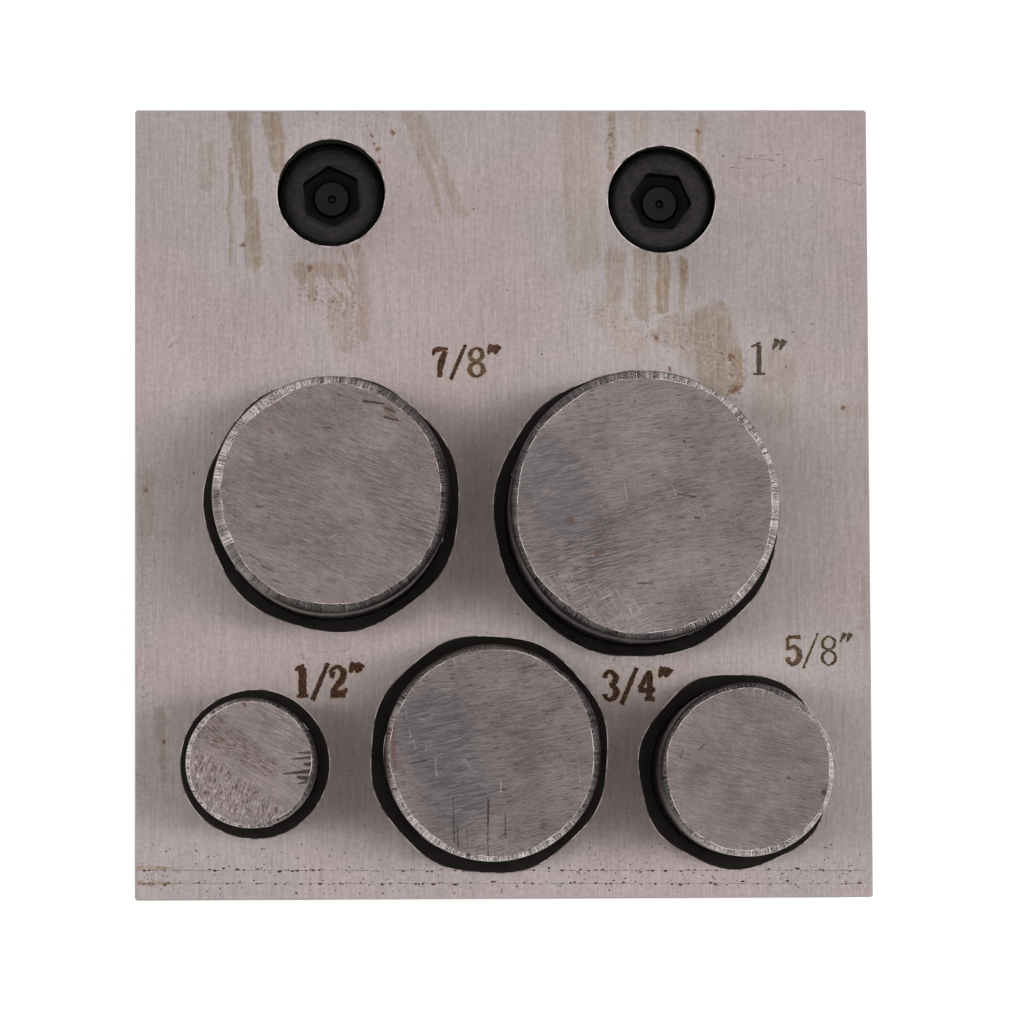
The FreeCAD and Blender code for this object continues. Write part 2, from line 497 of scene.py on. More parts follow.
# Patches that damp has roughened to dark and pale crumbs: start, end, width and strength
CRUMBLED = (
    ((-18.4, 20.4), (-14.6, 18.8), 2.6, 0.9),
    ((-15.4, 17.6), (-14.4, 15.8), 3.2, 0.6),
    ((14.8, 16.6), (20.5, 14.0), 3.2, 0.7),
    ((8.6, 18.8), (12.5, 15.5), 2.6, 0.6),
    ((22.4, 13.6), (22.0, 10.6), 2.2, 0.9),
    ((-34.6, -35.3), (-31.5, -35.4), 2.6, 0.8),
    ((9.8, -15.0), (14.5, -15.4), 2.4, 0.7),
    ((-19.5, -14.6), (-13.0, -15.0), 2.2, 0.5),
    ((-34.2, -4.0), (-33.6, -20.0), 1.5, 0.5),
    ((24.0, -35.4), (34.0, -35.6), 2.6, 0.5),
    ((-10.0, -33.4), (16.0, -33.8), 1.6, 0.4),
    ((10.6, 37.0), (10.4, 33.2), 0.8, 0.9),
)
RUST = (0.16, 0.075, 0.04, 1.0)
DARK_RUST = (0.06, 0.035, 0.025, 1.0)
PALE_CRUMB = grey(0.62, 0.08)
TOP_TONE = 0.375


def brush_along_y(t, shader):
    """Stretches reflections across the grinding lines of the top."""
    shader["Anisotropic"].default_value = 1.0
    tangent = t.add("ShaderNodeTangent", direction_type="UV_MAP", uv_map="plan")
    t.feed(shader["Tangent"], tangent.outputs[0])


def strongest(t, place, streaks, softness):
    """The strongest of some streaks: start, end, width at the start, width at the end, strength."""
    most = 0.0
    for start, end, start_width, end_width, strength in streaks:
        mask = streak_mask(t, place, start, end, start_width, end_width, softness)["Mask"]
        most = t.larger(t.times(mask, strength), most)
    return most


def ground_steel(t, place, grain):
    """Colour of the bare top: brushed, with clouds and a mottle."""
    streaky = t.group(GRAIN, Position=place, Lines=0.9, Run=18.0)["Shade"]
    broad = t.noise(place, scale=0.07, detail=3.0)[0]
    mottle = t.noise(place, scale=2.6, detail=4.0, rough=0.7)[0]
    hue = t.noise(place, scale=0.05, detail=2.0)["Color"]
    steel = t.blend(t.remap(hue, 0.4, 0.6), grey(TOP_TONE, 0.175), grey(TOP_TONE, 0.13))
    changes = ((grain, 0.20), (streaky, 0.03), (broad, 0.06), (mottle, 0.13))
    return toned(t, steel, *(swing(t, value, amount) for value, amount in changes))


def stained(t, place, colour):
    """Tan stains, broken up along the grinding lines."""
    ragged = t.group(WANDER, Position=place, Broad=0.9, Fine=0.3)["Position"]
    streaks = t.group(GRAIN, Position=place, Lines=2.2, Run=6.0)["Shade"]
    flecks = t.noise(place, scale=1.4, detail=4.0, rough=0.7)[0]
    gaps_along = t.remap(streaks, 0.38, 0.54, 0.4, 1.0)
    breaks = t.times(gaps_along, t.remap(flecks, 0.36, 0.5, 0.6, 1.0))
    stain = strongest(t, ragged, STAINS, 0.25)
    colour = t.blend(t.times(stain, breaks), colour, STAIN_TINT, "MULTIPLY")
    centre, width, strength, tint = DRIED_RIM
    rim = t.times(streak_mask(t, ragged, centre, centre, width, width, 0.25)["Rim"], strength)
    return t.blend(t.times(rim, breaks), colour, tint, "MULTIPLY")


def rusted(t, place, colour):
    """Rust spots, patches of dark and pale crumbs, and scattered specks."""
    crumbly = t.group(WANDER, Position=place, Broad=0.8, Fine=1.0)["Position"]
    spots = [(centre, centre, width, width, 1.0) for centre, width in RUST_SPOTS]
    colour = t.blend(t.times(strongest(t, crumbly, spots, 0.5), 0.85), colour, RUST)
    crumbs = t.noise(place, scale=3.4, detail=3.0, rough=0.7)[0]
    patches = [(start, end, width, width, strength) for start, end, width, strength in CRUMBLED]
    patch = strongest(t, crumbly, patches, 0.5)
    for low, high, share, shade in ((0.58, 0.66, 0.8, DARK_RUST), (0.40, 0.32, 0.5, PALE_CRUMB)):
        crumb = t.times(t.times(t.remap(crumbs, low, high), patch), share)
        colour = t.blend(crumb, colour, shade)
    specks = t.group(SPECKS, Position=place, Spacing=1.7, Size=0.09, Share=0.3)["Mask"]
    return t.blend(t.times(specks, 0.45), colour, DARK_RUST)


def ground_top_material():
    """Top of the guide plate: ground bright along Y, stained and rusted in places."""
    material, t, shader, place = new_material("ground_top")
    grain = t.group(GRAIN, Position=place, Lines=5.0, Run=4.5)["Shade"]
    colour = rusted(t, place, stained(t, place, ground_steel(t, place, grain)))
    dress(t, shader, colour, t.remap(grain, 0.3, 0.7, 0.41, 0.47, smooth=False), grain, 0.004)
    brush_along_y(t, shader)
    return material


SIDE_BAND = 0.6
LEVEL_ABOVE = 0.99


def plate_body_material():
    """Plates as made: blackened in the holes and on chamfers, ground on the flats and the sides."""
    material, t, shader, place = new_material("plate_body")
    x, y, z = t.separate(place)
    outer_x = t.math("GREATER_THAN", t.math("ABSOLUTE", x), GUIDE_HIGH.x - SIDE_BAND)
    outer_y = t.math("GREATER_THAN", t.math("ABSOLUTE", y), GUIDE_HIGH.y - SIDE_BAND)
    _, _, upright = t.separate(t.add("ShaderNodeNewGeometry").outputs["True Normal"])
    level = t.math("GREATER_THAN", t.math("ABSOLUTE", upright), LEVEL_ABOVE)
    bright = t.larger(t.larger(outer_x, outer_y), level)
    run = t.plus(x, y)
    grain = t.group(GRAIN, Position=t.combine(z, run, 0.0), Lines=5.0, Run=9.0)["Shade"]
    clouds = t.noise(place, scale=0.12, detail=4.0, rough=0.6)[0]
    ground = toned(t, grey(0.35, 0.13), swing(t, grain, 0.2), swing(t, clouds, 0.1))
    scale = t.noise(place, scale=0.8, detail=4.0, rough=0.6)[0]
    black = t.blend(scale, grey(0.016), (0.032, 0.025, 0.02, 1.0))
    t.feed(shader["Metallic"], bright)
    roughness = t.minus(0.6, t.times(bright, 0.2))
    dress(t, shader, t.blend(bright, black, ground), roughness, grain, 0.003)
    return material


def blackened_material():
    """Bores, chamfers and counterbores: heat-treatment black, with a trace of brown scale."""
    material, t, shader, place = new_material("blackened_bore")
    scale = t.noise(place, scale=0.8, detail=4.0, rough=0.6)[0]
    colour = t.blend(scale, grey(0.018, 0.1), (0.036, 0.029, 0.025, 1.0))
    dress(t, shader, colour, t.remap(scale, 0.3, 0.7, 0.5, 0.7), scale, 0.02)
    shader["Metallic"].default_value = 0.0
    shader["Specular IOR Level"].default_value = 0.35
    return material


# Parts of the etched sizes whose rust is lighter or greyer: start, end and width
TAN_MARKS = (((-2.5, 13.4), (-2.1, 13.4), 2.4), ((26.6, -14.2), (28.1, -14.2), 2.6))
GREY_MARKS = (((24.6, 13.6), (27.0, 13.9), 3.6), ((29.6, -14.2), (33.0, -13.0), 3.0))


def etched_material():
    """Floor and walls of the etched sizes and of the pits, filled with brown rust."""
    material, t, shader, place = new_material("etched_mark")
    crumbs = t.noise(place, scale=4.0, detail=3.0, rough=0.7)[0]
    flat = t.flat(place)
    colour = t.blend(t.remap(crumbs, 0.35, 0.65), (0.052, 0.024, 0.016, 1.0), (0.145, 0.068, 0.042, 1.0))
    for marks, tint in ((TAN_MARKS, (0.24, 0.15, 0.095, 1.0)), (GREY_MARKS, (0.125, 0.10, 0.078, 1.0))):
        for start, end, width in marks:
            mask = streak_mask(t, flat, start, end, width, width)["Mask"]
            worn = t.blend(t.remap(crumbs, 0.3, 0.6), (0.07, 0.045, 0.03, 1.0), tint)
            colour = t.blend(t.times(mask, 0.85), colour, worn)
    dress(t, shader, colour, 0.85, crumbs, 0.03)
    shader["Metallic"].default_value = 0.0
    shader["Specular IOR Level"].default_value = 0.2
    return material


def painted_highlight_and_rub_material():
    """Painted highlight on thin rims round bores, counterbores and struck ends; also the rubbed scratches.
    """
    material, t, shader, place = new_material("burnished_rim")
    patches = t.noise(place, scale=0.5, detail=4.0, rough=0.7)[0]
    # Painted highlight: light patches along the thin rims where an edge would catch the light; the bright
    # scratches on the top take the same colour as rubbed wear.
    colour = t.blend(t.remap(patches, 0.45, 0.57), grey(0.2, 0.16), grey(0.62, 0.13))
    dress(t, shader, colour, 0.4)
    return material


def rust_halo_material():
    """Tan edge that rust has left on the steel round the etched sizes."""
    material, t, shader, place = new_material("rust_halo")
    patches = t.noise(place, scale=1.6, detail=4.0, rough=0.65)[0]
    colour = t.blend(t.remap(patches, 0.42, 0.58), grey(TOP_TONE, 0.16), (0.36, 0.28, 0.20, 1.0))
    dress(t, shader, colour, 0.44, patches, 0.01)
    brush_along_y(t, shader)
    return material


def scribed_material():
    """Floor of the two scribed lines: dull steel, brown at both ends of the lines."""
    material, t, shader, place = new_material("scribed_line")
    x, _, _ = t.separate(place)
    ends = t.remap(t.math("ABSOLUTE", x), 24.0, 34.0)
    crumbs = t.noise(place, scale=3.0, detail=3.0, rough=0.7)[0]
    colour = t.blend(ends, grey(0.41, 0.16), (0.27, 0.21, 0.16, 1.0))
    dress(t, shader, toned(t, colour, swing(t, crumbs, 0.9)), 0.7, crumbs, 0.01)
    return material


def punch_side_material():
    """Sides of the punches: dark ground steel with rings, drawn marks, rubs near the top and painted sheen.
    """
    material, t, shader, place = new_material("punch_side")
    x, y, z = t.separate(place)
    rings = t.noise(t.combine(0.0, 0.0, z), scale=1.8, detail=4.0, rough=0.75)[0]
    drawn = t.noise(t.combine(x, y, t.times(z, 0.04)), scale=1.3, detail=4.0, rough=0.7)[0]
    rubs = t.noise(t.combine(x, y, t.times(z, 0.12)), scale=2.2, detail=3.0, rough=0.7)[0]
    colour = toned(t, grey(0.13, 0.07), swing(t, rings, 0.3), swing(t, drawn, 0.32))
    near_top = t.remap(z, TOP + 9.0, TOP + 14.0)
    rubbed = t.times(t.remap(rubs, 0.5, 0.68), near_top)
    colour = t.blend(t.times(rubbed, 0.6), colour, grey(0.26, 0.08))
    # Painted reflection: the side grows lighter towards the top, in place of the lit plate it reflects; the
    # same ramp also roughens it.
    painted_sheen_ramp = t.remap(z, TOP + 2.0, TOP + 14.5)
    colour = t.blend(t.times(painted_sheen_ramp, 0.6), colour, grey(0.29, 0.1))
    polish = t.remap(drawn, 0.3, 0.7, 0.08, 0.11)
    dress(t, shader, colour, t.plus(polish, t.times(painted_sheen_ramp, 0.22)), rings, 0.004)
    return material


# Rust and tan film on the bevels: start, end, width and colour
BEVEL_FILMS = (
    ((-11.4, -21.8), (-11.2, -26.8), 1.3, (0.12, 0.045, 0.035, 1.0)),
    ((-8.5, -16.5), (3.0, -13.9), 1.6, (0.15, 0.125, 0.085, 1.0)),
    ((-24.5, -19.6), (-23.9, -19.2), 0.9, (0.10, 0.06, 0.04, 1.0)),
    ((-25.2, -5.4), (-20.2, -10.0), 1.6, (0.05, 0.042, 0.038, 1.0)),
    ((-27.2, 0.6), (-26.8, -3.2), 1.2, (0.09, 0.065, 0.05, 1.0)),
)


def punch_bevel_material():
    """Bevel round the struck end, ground by hand, with ticks that run out across it; painted highlights."""
    material, t, shader, place = new_material("punch_bevel")
    spoke = t.add("ShaderNodeAttribute", attribute_name="spoke").outputs["Vector"]
    x, y, painted_highlight_turn = t.separate(spoke)
    towards = t.combine(t.math("COSINE", painted_highlight_turn), t.math("SINE", painted_highlight_turn))
    ticks = t.noise(spoke, scale=13.0, detail=3.0, rough=0.75)[0]
    broad = t.noise(spoke, scale=0.7, detail=2.0)[0]
    crumbs = t.noise(place, scale=7.0, detail=3.0, rough=0.7)[0]
    # Painted light and shade: the bevel's colour goes from dark to light towards the turn stored in the
    # spoke's Z, in place of the bright and dark room it would reflect.
    facing_painted_light = t.vector_math("DOT_PRODUCT", t.vector_math("NORMALIZE", t.combine(x, y)), towards)
    bright = t.remap(facing_painted_light, -0.45, 0.8)
    tone = t.blend(bright, grey(0.085, 0.12), grey(0.28, 0.14))
    colour = toned(t, tone, swing(t, ticks, 1.0), swing(t, broad, 0.4), swing(t, crumbs, 1.0))
    # Painted glints: near-white flecks on the ticks, strongest on the side painted lighter.
    painted_glints = t.times(t.remap(ticks, 0.52, 0.62), t.remap(crumbs, 0.42, 0.6))
    painted_glints = t.times(painted_glints, t.remap(bright, 0.0, 1.0, 0.08, 0.85))
    colour = t.blend(painted_glints, colour, grey(0.85, 0.1))
    flat = t.flat(place)
    for start, end, width, film in BEVEL_FILMS:
        mask = t.times(streak_mask(t, flat, start, end, width, width, 0.7)["Mask"], 0.8)
        colour = t.blend(t.times(mask, t.remap(crumbs, 0.4, 0.56)), colour, film)
    roughness = t.remap(ticks, 0.3, 0.7, 0.55, 0.35, smooth=False)
    dress(t, shader, colour, roughness, t.plus(ticks, crumbs), 0.03)
    return material


WEAR_COLOURS = {
    "nick": (0.022, 0.017, 0.016, 1.0),
    "dull": (0.085, 0.075, 0.077, 1.0),
    "bright": (0.52, 0.48, 0.48, 1.0),
    "rust": (0.12, 0.068, 0.048, 1.0),
    "freckles": (0.08, 0.04, 0.036, 1.0),
    "blotches": (0.105, 0.066, 0.05, 1.0),
    "flecks": (0.50, 0.43, 0.43, 1.0),
    "hatching": (0.42, 0.39, 0.39, 1.0),
    "film": (0.118, 0.115, 0.125, 1.0),
}

# Struck ends: slope of the lapping lines in degrees, tone and strength of the dark dashes
STRUCK_ENDS = {
    "half_inch_punch": (-25, 0.232, 0.35),
    "five_eighths_punch": (-13, 0.187, 0.25),
    "three_quarter_punch": (12, 0.172, 1.1),
    "seven_eighths_punch": (-19, 0.205, 0.6),
    "one_inch_punch": (14, 0.197, 0.75),
}

# Wear of the struck ends, from the axis of the punch: kind, start, end, width at the start, width at
# the end and strength
WEAR = {
    "half_inch_punch": (
        ("blotches", (-4.2, 3.6), (1.6, -0.4), 3.4, 1.8, 0.8),
        ("freckles", (-5.0, -0.8), (2.4, -5.4), 4.2, 2.6, 0.85),
        ("flecks", (-5.0, -1.2), (2.0, -5.6), 4.0, 2.6, 0.8),
        ("nick", (4.4, 0.9), (5.5, 0.9), 0.12, 0.32, 0.8),
        ("nick", (3.7, 0.3), (5.4, 0.45), 0.08, 0.34, 0.8),
        ("nick", (4.9, -0.15), (5.5, -0.15), 0.2, 0.42, 0.85),
        ("nick", (3.0, -1.05), (5.4, -0.8), 0.1, 0.42, 0.85),
        ("nick", (4.3, -1.35), (5.4, -1.5), 0.25, 0.55, 0.85),
        ("nick", (4.3, -1.95), (5.2, -1.8), 0.1, 0.26, 0.8),
        ("rust", (-0.7, 5.4), (-0.5, 5.2), 0.4, 0.3, 0.8),
        ("dull", (1.5, 4.0), (4.2, 2.0), 2.4, 2.4, 0.5),
    ),
    "five_eighths_punch": (
        # This broad patch darkens the middle of the face.
        ("dull", (1.8, -0.4), (2.4, -0.6), 11.5, 11.5, 0.42),
        ("nick", (7.0, -2.1), (7.2, -2.3), 0.5, 0.3, 0.7),
        ("nick", (3.7, -0.8), (3.8, -0.8), 0.2, 0.2, 0.6),
        ("nick", (-4.6, 1.8), (-3.9, 2.4), 0.1, 0.2, 0.4),
        ("nick", (-6.2, 1.2), (-5.9, 1.9), 0.2, 0.1, 0.4),
    ),
    "three_quarter_punch": (
        ("film", (-5.6, 2.4), (-3.2, -3.4), 6.5, 6.5, 0.6),
        ("dull", (-5.0, 3.0), (-3.0, -4.5), 7.0, 6.0, 0.85),
        ("dull", (1.5, 3.0), (3.5, 0.0), 4.5, 4.5, 0.6),
        ("nick", (-3.7, -4.1), (-3.6, -8.2), 0.08, 0.14, 0.7),
        ("nick", (-3.3, -6.8), (-3.25, -8.7), 0.08, 0.14, 0.7),
        ("nick", (-2.4, -7.0), (-2.4, -8.6), 0.08, 0.1, 0.5),
        ("nick", (-0.5, -4.2), (-0.5, -9.4), 0.1, 0.12, 0.65),
        ("nick", (-0.45, -4.4), (-0.5, -6.6), 0.2, 0.18, 0.6),
        ("nick", (1.1, -5.4), (1.1, -7.7), 0.08, 0.14, 0.65),
        ("nick", (0.5, -7.8), (1.0, -7.5), 0.08, 0.12, 0.6),
        ("nick", (4.4, -7.0), (5.0, -7.1), 0.12, 0.08, 0.5),
        ("nick", (2.8, 7.7), (4.0, 8.1), 0.1, 0.16, 0.6),
        ("nick", (-1.1, -3.9), (1.0, -3.3), 0.08, 0.14, 0.55),
        ("nick", (4.9, 3.7), (6.4, 4.1), 0.14, 0.08, 0.5),
        ("nick", (-7.6, -1.0), (-6.2, -0.7), 0.12, 0.14, 0.55),
        ("bright", (-8.0, 4.0), (-7.9, 3.1), 0.06, 0.1, 0.2),
        ("bright", (-7.7, 2.4), (-7.6, 1.4), 0.06, 0.1, 0.25),
        ("bright", (-7.3, 1.3), (-7.1, 0.4), 0.06, 0.1, 0.22),
        ("bright", (-7.8, 0.9), (-7.2, 1.1), 0.06, 0.08, 0.2),
        ("bright", (-6.2, 0.9), (-6.1, 0.1), 0.06, 0.08, 0.2),
        ("bright", (-6.9, 3.2), (-6.3, 3.0), 0.06, 0.08, 0.18),
        ("bright", (-4.7, 5.9), (-4.1, 5.4), 0.08, 0.08, 0.2),
        ("bright", (-5.3, -0.4), (-5.2, -2.2), 0.06, 0.1, 0.3),
        ("bright", (-2.6, -0.6), (-2.1, -1.4), 0.06, 0.08, 0.25),
        ("bright", (7.8, -1.2), (8.0, -2.8), 0.06, 0.08, 0.22),
        ("bright", (0.7, -2.8), (0.7, -3.7), 0.1, 0.1, 0.4),
        ("rust", (-9.3, 2.3), (-9.0, -1.5), 0.5, 0.35, 0.6),
        ("rust", (1.2, 0.4), (1.3, 0.3), 0.25, 0.25, 0.5),
        ("blotches", (-7.2, -5.4), (-5.8, -7.0), 1.8, 1.4, 0.35),
        ("blotches", (-3.4, -8.7), (1.5, -9.1), 1.0, 0.7, 0.4),
    ),
    "seven_eighths_punch": (
        ("dull", (-6.5, 3.0), (-2.0, -4.0), 4.0, 6.5, 0.45),
        ("dull", (3.0, 3.5), (8.0, -3.5), 3.0, 5.0, 0.6),
        ("nick", (-0.6, 6.15), (0.1, 6.1), 0.16, 0.12, 0.6),
        ("nick", (-6.9, -1.1), (-6.2, -1.15), 0.14, 0.1, 0.6),
        ("nick", (3.1, 8.6), (4.9, 8.3), 0.26, 0.16, 0.8),
        ("nick", (5.1, 7.9), (5.9, 7.6), 0.3, 0.2, 0.7),
        ("nick", (5.0, 7.1), (6.2, 6.8), 0.26, 0.16, 0.75),
        ("nick", (-7.5, -5.5), (-6.5, -6.2), 0.2, 0.12, 0.45),
        ("nick", (-6.3, -6.6), (-5.2, -7.2), 0.22, 0.12, 0.45),
        ("nick", (-5.4, -7.9), (-4.3, -8.3), 0.16, 0.1, 0.4),
        ("nick", (-7.8, -3.4), (-7.1, -3.5), 0.12, 0.1, 0.4),
        ("nick", (8.2, -3.4), (9.6, -4.0), 0.1, 0.12, 0.4),
        ("nick", (8.5, -2.5), (9.7, -3.0), 0.08, 0.1, 0.4),
        ("rust", (5.2, 8.0), (5.8, 7.0), 0.8, 0.6, 0.5),
        ("blotches", (-9.6, 0.8), (-8.7, -2.9), 1.3, 1.0, 0.55),
        ("bright", (2.9, -1.1), (3.3, -1.9), 0.06, 0.1, 0.22),
        ("bright", (-0.2, -4.1), (0.5, -3.7), 0.06, 0.1, 0.22),
        ("rust", (-4.9, 8.4), (-4.4, 7.9), 0.5, 0.4, 0.4),
        ("rust", (-5.6, 5.9), (-5.3, 5.6), 0.5, 0.3, 0.5),
        ("rust", (-4.2, 3.6), (-4.0, 3.3), 0.4, 0.3, 0.5),
    ),
    "one_inch_punch": (
        ("dull", (-8.5, 2.5), (-6.0, -5.0), 7.5, 7.0, 0.7),
        ("dull", (-6.0, -4.5), (0.5, -4.0), 5.0, 2.0, 0.6),
        ("dull", (-4.0, -1.5), (4.0, 1.4), 1.4, 2.4, 0.7),
        ("film", (-9.0, 3.5), (-7.4, 0.0), 5.5, 6.0, 0.45),
        ("hatching", (-7.6, -8.2), (-0.6, -10.2), 4.4, 3.0, 0.42),
        ("nick", (3.0, 1.0), (4.6, 0.7), 0.12, 0.2, 0.6),
        ("nick", (4.6, -1.2), (5.0, -1.3), 0.2, 0.15, 0.7),
        ("nick", (-0.8, -7.3), (0.6, -7.2), 0.12, 0.12, 0.7),
        ("rust", (-7.0, -1.4), (-6.8, -1.6), 0.7, 0.5, 0.65),
        ("rust", (-4.6, -4.6), (-3.9, -4.4), 0.5, 0.3, 0.7),
        ("bright", (-1.9, 2.0), (-1.7, 0.6), 0.08, 0.12, 0.22),
        ("bright", (2.4, 1.9), (2.9, 0.9), 0.08, 0.1, 0.22),
        ("bright", (5.3, -0.3), (5.5, -1.2), 0.08, 0.1, 0.2),
        ("nick", (3.6, 5.9), (3.7, 5.8), 0.25, 0.25, 0.6),
    ),
}


def struck_end_material(node):
    """Struck end of one punch, lapped on coarse paper at its own slope and worn in its own places."""
    slope, tone_value, dash = STRUCK_ENDS[node]
    material, t, shader, place = new_material(node + "_end")
    local = t.vector_math("SUBTRACT", t.flat(place), (*axis_of(node), 0.0))
    lap = math.radians(90 - slope)

    def grain_at(turn, lines, run):
        return t.group(GRAIN, Position=place, Turn=turn, Lines=lines, Run=run)["Shade"]

    def scratches_at(turn, lines, run, rarity):
        group = t.group(SCRATCHES, Position=place, Turn=turn, Lines=lines, Run=run, Rarity=rarity)
        return group["Mask"]

    grain = grain_at(lap, 10.0, 2.8)
    cross = grain_at(lap + 0.3, 9.0, 2.2)
    upright = grain_at(lap + 1.4, 3.0, 3.0)
    clouds = t.noise(place, scale=0.2, detail=3.0, rough=0.6)[0]
    speckle = t.noise(place, scale=7.0, detail=2.0, rough=0.7)[0]
    changes = ((grain, 0.38), (cross, 0.26), (upright, 0.1), (clouds, 0.22), (speckle, 0.24))
    colour = toned(t, grey(tone_value, 0.18), *(swing(t, value, amount) for value, amount in changes))
    short = scratches_at(lap, 8.0, 1.3, 0.63)
    long = scratches_at(lap + 0.2, 9.0, 2.4, 0.65)
    colour = t.blend(t.times(short, dash), colour, WEAR_COLOURS["dull"])
    colour = t.blend(t.times(long, 0.6 * dash), colour, WEAR_COLOURS["dull"])
    radius = width_of(node) / 2
    spoke = t.vector_math("SCALE", t.vector_math("NORMALIZE", local), radius)
    burrs = t.noise(spoke, scale=4.0, detail=3.0, rough=0.75)[0]
    reach = t.plus(t.vector_math("LENGTH", local), swing(t, burrs, 0.6))
    near_rim = t.remap(reach, radius - 1.1, radius + 0.1)
    for low, high, shade in ((0.47, 0.40, "nick"), (0.56, 0.64, "bright")):
        share = t.times(t.remap(burrs, low, high), near_rim)
        colour = t.blend(t.times(share, 0.4), colour, WEAR_COLOURS[shade])
    ragged = t.group(WANDER, Position=local, Broad=0.5, Fine=0.35)["Position"]
    nearly_straight = t.group(WANDER, Position=local, Broad=0.1, Fine=0.16)["Position"]
    drawn_out = grain_at(lap, 5.0, 2.6)
    steep = grain_at(lap - 1.75, 4.5, 1.0)
    breaks = {
        "dull": t.remap(drawn_out, 0.46, 0.56),
        "blotches": t.remap(grain_at(lap + 0.15, 4.5, 1.0), 0.47, 0.58),
        "freckles": t.remap(steep, 0.50, 0.60),
        "flecks": t.remap(steep, 0.46, 0.38),
        "hatching": t.larger(scratches_at(1.1, 11.0, 2.4, 0.6), scratches_at(-0.5, 11.0, 2.0, 0.6)),
        "film": t.remap(drawn_out, 0.35, 0.6, 0.4, 1.0),
    }
    for kind, start, end, start_width, end_width, strength in WEAR[node]:
        here = nearly_straight if kind in ("nick", "bright") else ragged
        mask = streak_mask(t, here, start, end, start_width, end_width, 0.45)["Mask"]
        if kind in breaks:
            mask = t.times(mask, breaks[kind])
        colour = t.blend(t.times(mask, strength), colour, WEAR_COLOURS[kind])
    dress(t, shader, colour, t.remap(grain, 0.3, 0.7, 0.36, 0.5, smooth=False), grain, 0.006)
    return material


def black_oxide_material():
    """Cap screws: black oxide, a little worn and dusty."""
    material, t, shader, place = new_material("black_oxide")
    wear = t.noise(place, scale=1.2, detail=4.0, rough=0.65)[0]
    fine = t.noise(place, scale=6.0, detail=3.0, rough=0.7)[0]
    colour = t.blend(t.remap(wear, 0.35, 0.7), grey(0.024, 0.1), grey(0.042, 0.12))
    colour = toned(t, colour, swing(t, fine, 0.3))
    dress(t, shader, colour, t.remap(wear, 0.3, 0.7, 0.42, 0.6), fine, 0.006)
    return material


def painted_shade_black_material(name, lightness):
    """Sockets and rims of the cap screws: black oxide made darker, a painted shade."""
    material, t, shader, place = new_material(name)
    film = t.noise(place, scale=2.0, detail=3.0)[0]
    colour = t.blend(film, grey(0.5 * lightness), grey(lightness, 0.1))
    dress(t, shader, colour, t.remap(film, 0.3, 0.7, 0.5, 0.65))
    return material


def ground_pin_material():
    """Dowel pins: hardened and centreless ground, with faint rings."""
    material, t, shader, place = new_material("ground_pin")
    _, _, z = t.separate(place)
    rings = t.noise(t.combine(0.0, 0.0, z), scale=9.0, detail=3.0, rough=0.7)[0]
    film = t.noise(place, scale=0.8, detail=3.0)[0]
    colour = toned(t, grey(0.5, 0.03), swing(t, rings, 0.12), swing(t, film, 0.1))
    dress(t, shader, colour, t.remap(film, 0.3, 0.7, 0.2, 0.32), rings, 0.002)
    return material


# --------------------------------------------------------------------------------------------------
# Etched sizes: strokes of (across, up, width) points, in cap heights from the glyph's lower left
# --------------------------------------------------------------------------------------------------

